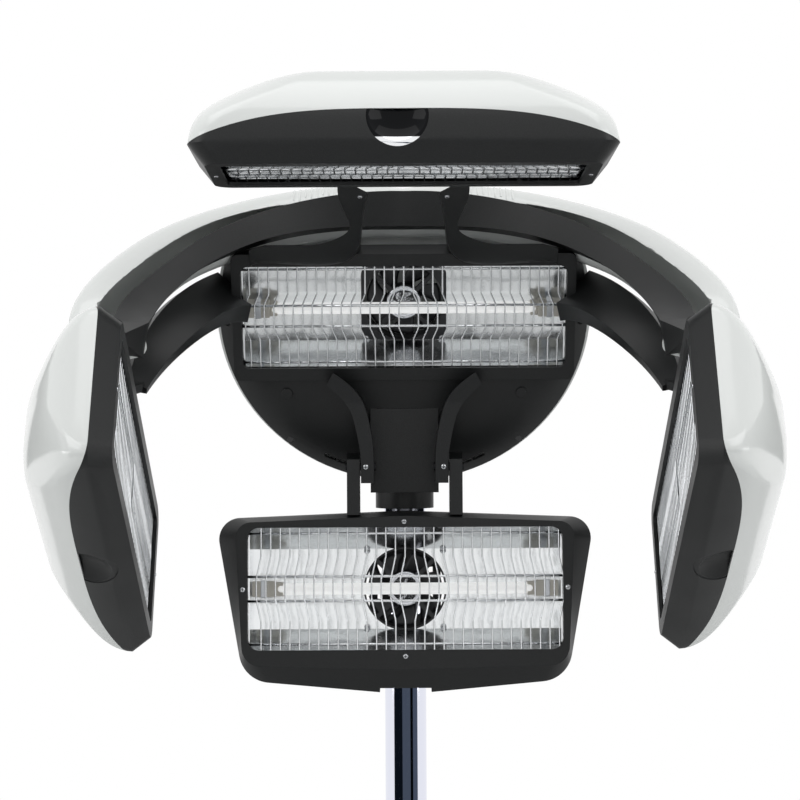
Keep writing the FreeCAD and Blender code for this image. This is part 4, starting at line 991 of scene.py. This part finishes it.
def screw_head(radius):
    """A pan head about z, with a raised cross for its recess, marked by a face attribute for painted shade."""
    r = radius
    head = lathe("head", [(-0.3 * r, 0.0), (-0.3 * r, r), (0.12 * r, r), (0.36 * r, 0.86 * r),
                          (0.52 * r, 0.55 * r), (0.58 * r, 0.0)], 20)
    head.transform(Matrix.Rotation(math.radians(-90.0), 4, "Y"))
    plain = len(head.polygons)
    bars = [soft_block("bar", (-a * r, -b * r, 0.3 * r), (a * r, b * r, 0.6 * r), 0.02 * r, 1)
            for a, b in ((0.62, 0.13), (0.13, 0.62))]
    mesh = joined("screw", [head] + bars)
    marks = mesh.attributes.new("recess", "BOOLEAN", "FACE")
    for i, item in enumerate(marks.data):
        item.value = i >= plain
    return mesh


def screws(name, body, seats, radius):
    """Screws of one size on a body, at places with normals."""
    model = bpy.data.objects.new("screw", screw_head(radius))
    base = bpy.data.meshes.new(name)
    base.from_pydata([place for place, _ in seats], [], [])
    facing = base.attributes.new("facing", "FLOAT_VECTOR", "POINT")
    for item, (_, normal) in zip(facing.data, seats):
        item.vector = normal
    # The cross of the recess gets black gloss as painted shade.
    mesh = evaluated(name, base, SCREW_TREE, {"Screw": model, "Finish": TURNED_STEEL,
                                              "Recess painted shade": BLACK_GLOSS})
    bpy.data.objects.remove(model)
    return add_piece(name, mesh, None, body, smooth=False)


SCREW_TREE = screw_tree()
print("screw tree:", len(SCREW_TREE.nodes), "nodes")

# %% Screws
FAN_HOLES = 35.75
FACE_HOLES = 156.0
REFLECTOR_SCREW = 3.0 * MM
FACE_SCREW = 1.9 * MM
NAPE_SCREW = 2.5 * MM
IN_FRONT = -0.6
NAPE_HOLES = [(-150.3, 0.4), (150.3, -0.5), (0.8, 61.6), (0.0, -62.4)]
ARM_SCREWS = (("top_arms", 38.0, 1477.5, 2.2), ("nape_arms", 36.1, 1238.2, 2.6))

placed = 0
for lamp in LAMPS:
    corners = [(a * FAN_HOLES, b * FAN_HOLES) for a in (-1, 1) for b in (-1, 1)]
    seats = lamp_seats(lamp, lamp + "_reflector", corners)
    screws(lamp + "_reflector_screws", LAMP_BODY[lamp], seats, REFLECTOR_SCREW)
    placed += len(seats)
for lamp in ("top", "left", "right"):
    seats = lamp_seats(lamp, lamp + "_housing", [(-FACE_HOLES, 0.0), (FACE_HOLES, 0.0)])
    screws(lamp + "_face_screws", LAMP_BODY[lamp], seats, FACE_SCREW)
    placed += len(seats)
seats = lamp_seats("nape", "nape_housing", NAPE_HOLES)
screws("nape_face_screws", LAMP_BODY["nape"], seats, NAPE_SCREW)
placed += len(seats)
for node, x, z, radius in ARM_SCREWS:
    seats = [seat(node, (side * x * MM, IN_FRONT, z * MM), (0.0, 1.0, 0.0)) for side in (-1, 1)]
    screws(node + "_screws", body_of_node[node], [place for place in seats if place], radius * MM)
    placed += len(seats)
print("screws:", placed)

# %% [markdown]
# ## Motor caps
# In front of each rotor sits the motor, held by four struts. Its cap is a pressed steel disc with a raised rim and
# six curved slots, like a small turbine. The slots are not cut: each is a thin dark plastic sheet on the cap's
# face, painted shade where the opening would be. One is drawn and a copy is turned to each place.

# %% Motor caps
CAP_SLOTS = 6
MOTOR_DEPTH = 4.35 * MM
SLOT_START = 4.4
SLOT_REACH = 7.0
SLOT_TURN = 34.0
SLOT_HALF = 5.0
SLOT_SPREAD = 10.0
SLOT_LIFT = 0.08 * MM
SLOT_THICKNESS = 0.07 * MM
SLOT_STEPS = 6


def shade_slot_mark(turn):
    """One thin curved sheet on the cap's face, widening outwards, that stands for a slot; it is given dark plastic
    as painted shade.
    """
    work = bmesh.new()
    rows = []
    for k in range(SLOT_STEPS + 1):
        share = k / SLOT_STEPS
        radius = (SLOT_START + SLOT_REACH * share) * MM
        middle = turn + math.radians(SLOT_TURN * share)
        half = math.radians(SLOT_HALF + SLOT_SPREAD * share)
        rows.append([work.verts.new((radius * math.cos(middle + side * half),
                                     radius * math.sin(middle + side * half), -SLOT_LIFT))
                     for side in (-1, 1)])
    for first, second in zip(rows, rows[1:]):
        work.faces.new((first[0], second[0], second[1], first[1]))
    shape = bmesh.ops.extrude_face_region(work, geom=work.faces[:])
    moved = [g for g in shape["geom"] if isinstance(g, bmesh.types.BMVert)]
    bmesh.ops.translate(work, verts=moved, vec=(0.0, 0.0, SLOT_THICKNESS))
    bmesh.ops.recalc_face_normals(work, faces=work.faces[:])
    return mesh_of(work, "slot")


def motor_cap(lamp):
    """The bright cap of a lamp's fan motor, with thin dark sheets as painted shade for its slots."""
    level = local_box(lamp + "_fan", lamp)[0].z - MOTOR_DEPTH
    at_hub = LAMP_FRAME[lamp] @ Matrix.Translation((0.0, 0.0, level))
    disc = lathe("cap", [(0.0, 0.0), (0.0, 12.2 * MM), (-0.9 * MM, 13.2 * MM),
                         (-1.3 * MM, 14.6 * MM), (-1.1 * MM, 15.9 * MM), (0.6 * MM, 16.6 * MM),
                         (0.6 * MM, 0.0)], 48)
    disc.transform(Matrix.Rotation(math.radians(-90.0), 4, "Y"))
    add_piece(lamp + "_motor_cap", disc, CHROMED_ABS, LAMP_BODY[lamp], matrix=at_hub)
    # Painted shade: thin dark sheets stand for the slot openings.
    slots = [shade_slot_mark(2.0 * math.pi * i / CAP_SLOTS) for i in range(CAP_SLOTS)]
    add_piece(lamp + "_motor_slots", joined("slots", slots), FAN_PLASTIC, LAMP_BODY[lamp],
              matrix=at_hub, smooth=False)


for lamp in LAMPS:
    motor_cap(lamp)
print("motor caps:", len(LAMPS))

# %% [markdown]
# ## Ribs and signs
# The arch's white cover has a short row of cooling ribs on each side of its crown. Each rib is a
# line of points dropped onto the cover; the node tree makes the lines round. The buttons carry a
# plus, a minus and a start sign in relief, in paler rubber.

# %% Ribs on the arch cover
RIB_PLACES = [64.0 + 5.4 * i for i in range(8)]
RIB_RADIUS = 1.3 * MM
RIB_SINK = 0.7 * MM
RIB_FRONT = -0.088
RIB_STEP = 0.004
RIB_POINTS = 9
OVER_COVER = 1.7
RIB_LOWEST = 1.48


def rib_tree():
    """Round bars along lines of points."""
    tree, given = node_group("ribs", [
        ("Lines", "Geometry", None), ("Rib radius", "Float", RIB_RADIUS),
        ("Finish", "Material", None)])
    lines = add_node(tree, "GeometryNodeMeshToCurve", None, {"Mesh": given["Lines"]})
    ring = add_node(tree, "GeometryNodeCurvePrimitiveCircle", None,
                    {"Resolution": 10, "Radius": given["Rib radius"]})
    ribs = add_node(tree, "GeometryNodeCurveToMesh", None,
                    {"Curve": lines.outputs[0], "Profile Curve": ring.outputs[0],
                     "Fill Caps": True})
    real = add_node(tree, "GeometryNodeRealizeInstances", None, {"Geometry": ribs.outputs[0]})
    done = add_node(tree, "GeometryNodeSetMaterial", None,
                    {"Geometry": real.outputs[0], "Material": given["Finish"]})
    add_node(tree, "NodeGroupOutput", None, {0: done.outputs[0]})
    return tree


points, edges = [], []
for side in (-1, 1):
    for x in RIB_PLACES:
        first = len(points)
        for k in range(RIB_POINTS):
            start = (side * x * MM, RIB_FRONT + RIB_STEP * k, OVER_COVER)
            hit = seat("rear_shell", start, (0.0, 0.0, -1.0))
            if hit and hit[0].z > RIB_LOWEST:
                points.append(hit[0] - hit[1] * RIB_SINK)
        edges += [(i, i + 1) for i in range(first, len(points) - 1)]
base = bpy.data.meshes.new("ribs")
base.from_pydata(points, edges, [])
ribs = evaluated("ribs", base, rib_tree(), {"Rib radius": RIB_RADIUS, "Finish": WHITE_ABS})
add_piece("arch_cooling_ribs", ribs, None, body_of_node["rear_shell"])
print("rib points:", len(points))

# %% Signs on the buttons
SIGN_HEIGHT = 0.3 * MM
SIGNS = {"plus_button": [(3.2, 0.7), (0.7, 3.2)], "minus_button": [(3.2, 0.7)],
         "start_button": [(0.7, 3.0)]}
RING_INNER = 3.6 * MM
RING_OUTER = 4.4 * MM
PROBE_HEIGHT = 0.05


def button_frame(button):
    """A frame on the middle of a button's top: z out of the button, y up the panel."""
    inward = Vector(JOINTS[button + "_press"]["axis"]).normalized()
    if inward.y > 0.0:
        inward = -inward
    vertices = frame["nodes"][button].data.vertices
    middle = sum((v.co for v in vertices), Vector()) / len(vertices)
    top, _ = seat(button, middle - inward * PROBE_HEIGHT, inward)
    side = Vector((-1.0, 0.0, 0.0))
    matrix = Matrix((side, (-inward).cross(side), -inward)).transposed().to_4x4()
    matrix.translation = top
    return matrix


for button, bars in SIGNS.items():
    shapes = [soft_block("bar", (-a * MM, -b * MM, -SIGN_HEIGHT), (a * MM, b * MM, SIGN_HEIGHT),
                         0.15 * MM, 1) for a, b in bars]
    if button == "start_button":
        shapes.append(lathe("ring", [(-SIGN_HEIGHT, RING_INNER), (SIGN_HEIGHT, RING_INNER),
                                     (SIGN_HEIGHT, RING_OUTER), (-SIGN_HEIGHT, RING_OUTER),
                                     (-SIGN_HEIGHT, RING_INNER)], 40))
        shapes[-1].transform(Matrix.Rotation(math.radians(-90.0), 4, "Y"))
    add_piece(button + "_sign", joined("sign", shapes), PALE_PRINT, body_of_node[button],
              matrix=button_frame(button), smooth=False)
print("signs:", len(SIGNS))

# %% [markdown]
# ## The studio
# Large soft boxes and a pale surround light the machine evenly. The white of the background is
# the colour that the camera sees, not extra light on the object. Chrome shows what stands round
# it, so the photographer's side of the room gets low dark screens. Two higher black flags at the
# sides keep the black flanks dark. Only reflections see the screens and the flags.

# %% Floor, world and lamps
FLOOR_HALF = 2.4
FLOOR_LIFT = 0.8
AMBIENT = 0.38
HEAD_AIM = (0.0, -0.2, 1.3)
SOFT_BOXES = (("key_left", (-2.2, -2.0, 2.3), (1.4, 1.8), 16.0),
              ("key_right", (2.2, -2.0, 2.3), (1.4, 1.8), 16.0),
              ("top_box", (0.0, -0.5, 3.2), (2.4, 1.6), 15.0),
              ("side_left", (-3.2, -1.0, 1.5), (1.2, 1.8), 24.0),
              ("side_right", (3.2, -1.0, 1.5), (1.2, 1.8), 24.0))


def studio_floor():
    """A pale floor that keeps its shadow and, for the camera, is lifted to white."""
    material, tree, _ = new_material("floor_pale")
    path = add_node(tree, "ShaderNodeLightPath")
    matte = add_node(tree, "ShaderNodeBsdfPrincipled", None,
                     {"Base Color": hex_colour("#E9EAEA"), "Roughness": 0.7})
    white = add_node(tree, "ShaderNodeEmission", None, {"Strength": 1.0})
    share = add_node(tree, "ShaderNodeMath", {"operation": "MULTIPLY"},
                     {0: path.outputs["Is Camera Ray"], 1: FLOOR_LIFT})
    seen = add_node(tree, "ShaderNodeMixShader", None,
                    {0: share.outputs[0], 1: matte.outputs[0], 2: white.outputs[0]})
    add_node(tree, "ShaderNodeOutputMaterial", None, {"Surface": seen.outputs[0]})
    mesh = bpy.data.meshes.new("floor")
    half = FLOOR_HALF
    mesh.from_pydata([(-half, -half, 0), (half, -half, 0), (half, half, 0), (-half, half, 0)],
                     [], [(0, 1, 2, 3)])
    mesh.materials.append(material)
    in_scene("floor", mesh)


def soft_box(name, place, aim, size, watts):
    """A rectangular light, pointed at a place."""
    data = bpy.data.lights.new(name, "AREA")
    data.shape = "RECTANGLE"
    data.size, data.size_y = size
    data.energy = watts
    light = in_scene(name, data)
    light.location = place
    light.rotation_euler = (Vector(aim) - Vector(place)).to_track_quat("-Z", "Y").to_euler()


def surround(ambient):
    """A world that is white to the camera and in reflections, and lights with less."""
    world = bpy.data.worlds.new("surround")
    world.use_nodes = True
    tree = world.node_tree
    tree.nodes.clear()
    path = add_node(tree, "ShaderNodeLightPath")
    either = add_node(tree, "ShaderNodeMath", {"operation": "MAXIMUM"},
                      {0: path.outputs["Is Camera Ray"], 1: path.outputs["Is Transmission Ray"]})
    seen = add_node(tree, "ShaderNodeMath", {"operation": "MAXIMUM"},
                    {0: either.outputs[0], 1: path.outputs["Is Glossy Ray"]})
    strength = add_node(tree, "ShaderNodeMapRange", None,
                        {"Value": seen.outputs[0], "To Min": ambient, "To Max": 1.0})
    back = add_node(tree, "ShaderNodeBackground", None,
                    {"Color": (1.0, 1.0, 1.0, 1.0), "Strength": strength.outputs["Result"]})
    add_node(tree, "ShaderNodeOutputWorld", None, {"Surface": back.outputs[0]})
    bpy.context.scene.world = world


studio_floor()
surround(AMBIENT)
for name, place, size, watts in SOFT_BOXES:
    soft_box(name, place, HEAD_AIM, size, watts)
bpy.context.scene.view_settings.view_transform = "Standard"
print("stage ready")

# %% Dark screens for the chrome
SCREEN_DISTANCE = 3.0
SCREEN_STEPS = 8
FRONT_SCREEN = (0.05, 0.75)
SIDE_FLAG = (0.85, 2.3)
SCREENS = ((-68.0, -19.0, FRONT_SCREEN, "#0D1218"), (-19.0, 25.0, FRONT_SCREEN, "#4A525E"),
           (25.0, 40.0, FRONT_SCREEN, "#06090C"), (40.0, 68.0, FRONT_SCREEN, "#4C5462"),
           (-135.0, -62.0, SIDE_FLAG, "#0A0C0E"), (62.0, 135.0, SIDE_FLAG, "#0A0C0E"))


def screen(start, end, heights, code):
    """A curved screen round the machine, from one bearing to another, seen in reflections."""
    low, high = heights
    material, tree, _ = new_material("screen")
    glow = add_node(tree, "ShaderNodeEmission", None, {"Color": hex_colour(code)})
    add_node(tree, "ShaderNodeOutputMaterial", None, {"Surface": glow.outputs[0]})
    points = []
    for k in range(SCREEN_STEPS + 1):
        a = math.radians(start + (end - start) * k / SCREEN_STEPS)
        foot = Vector((math.sin(a), -math.cos(a), 0.0)) * SCREEN_DISTANCE
        points += [foot + Vector((0.0, 0.0, low)), foot + Vector((0.0, 0.0, high))]
    mesh = bpy.data.meshes.new("screen")
    faces = [(2 * k, 2 * k + 2, 2 * k + 3, 2 * k + 1) for k in range(SCREEN_STEPS)]
    mesh.from_pydata(points, [], faces)
    mesh.materials.append(material)
    card = in_scene("screen", mesh)
    card.visible_camera = False
    card.visible_diffuse = False
    card.visible_shadow = False
    card.visible_transmission = False


for start, end, heights, code in SCREENS:
    screen(start, end, heights, code)
print("screens:", len(SCREENS))

# %% Done
print("done")
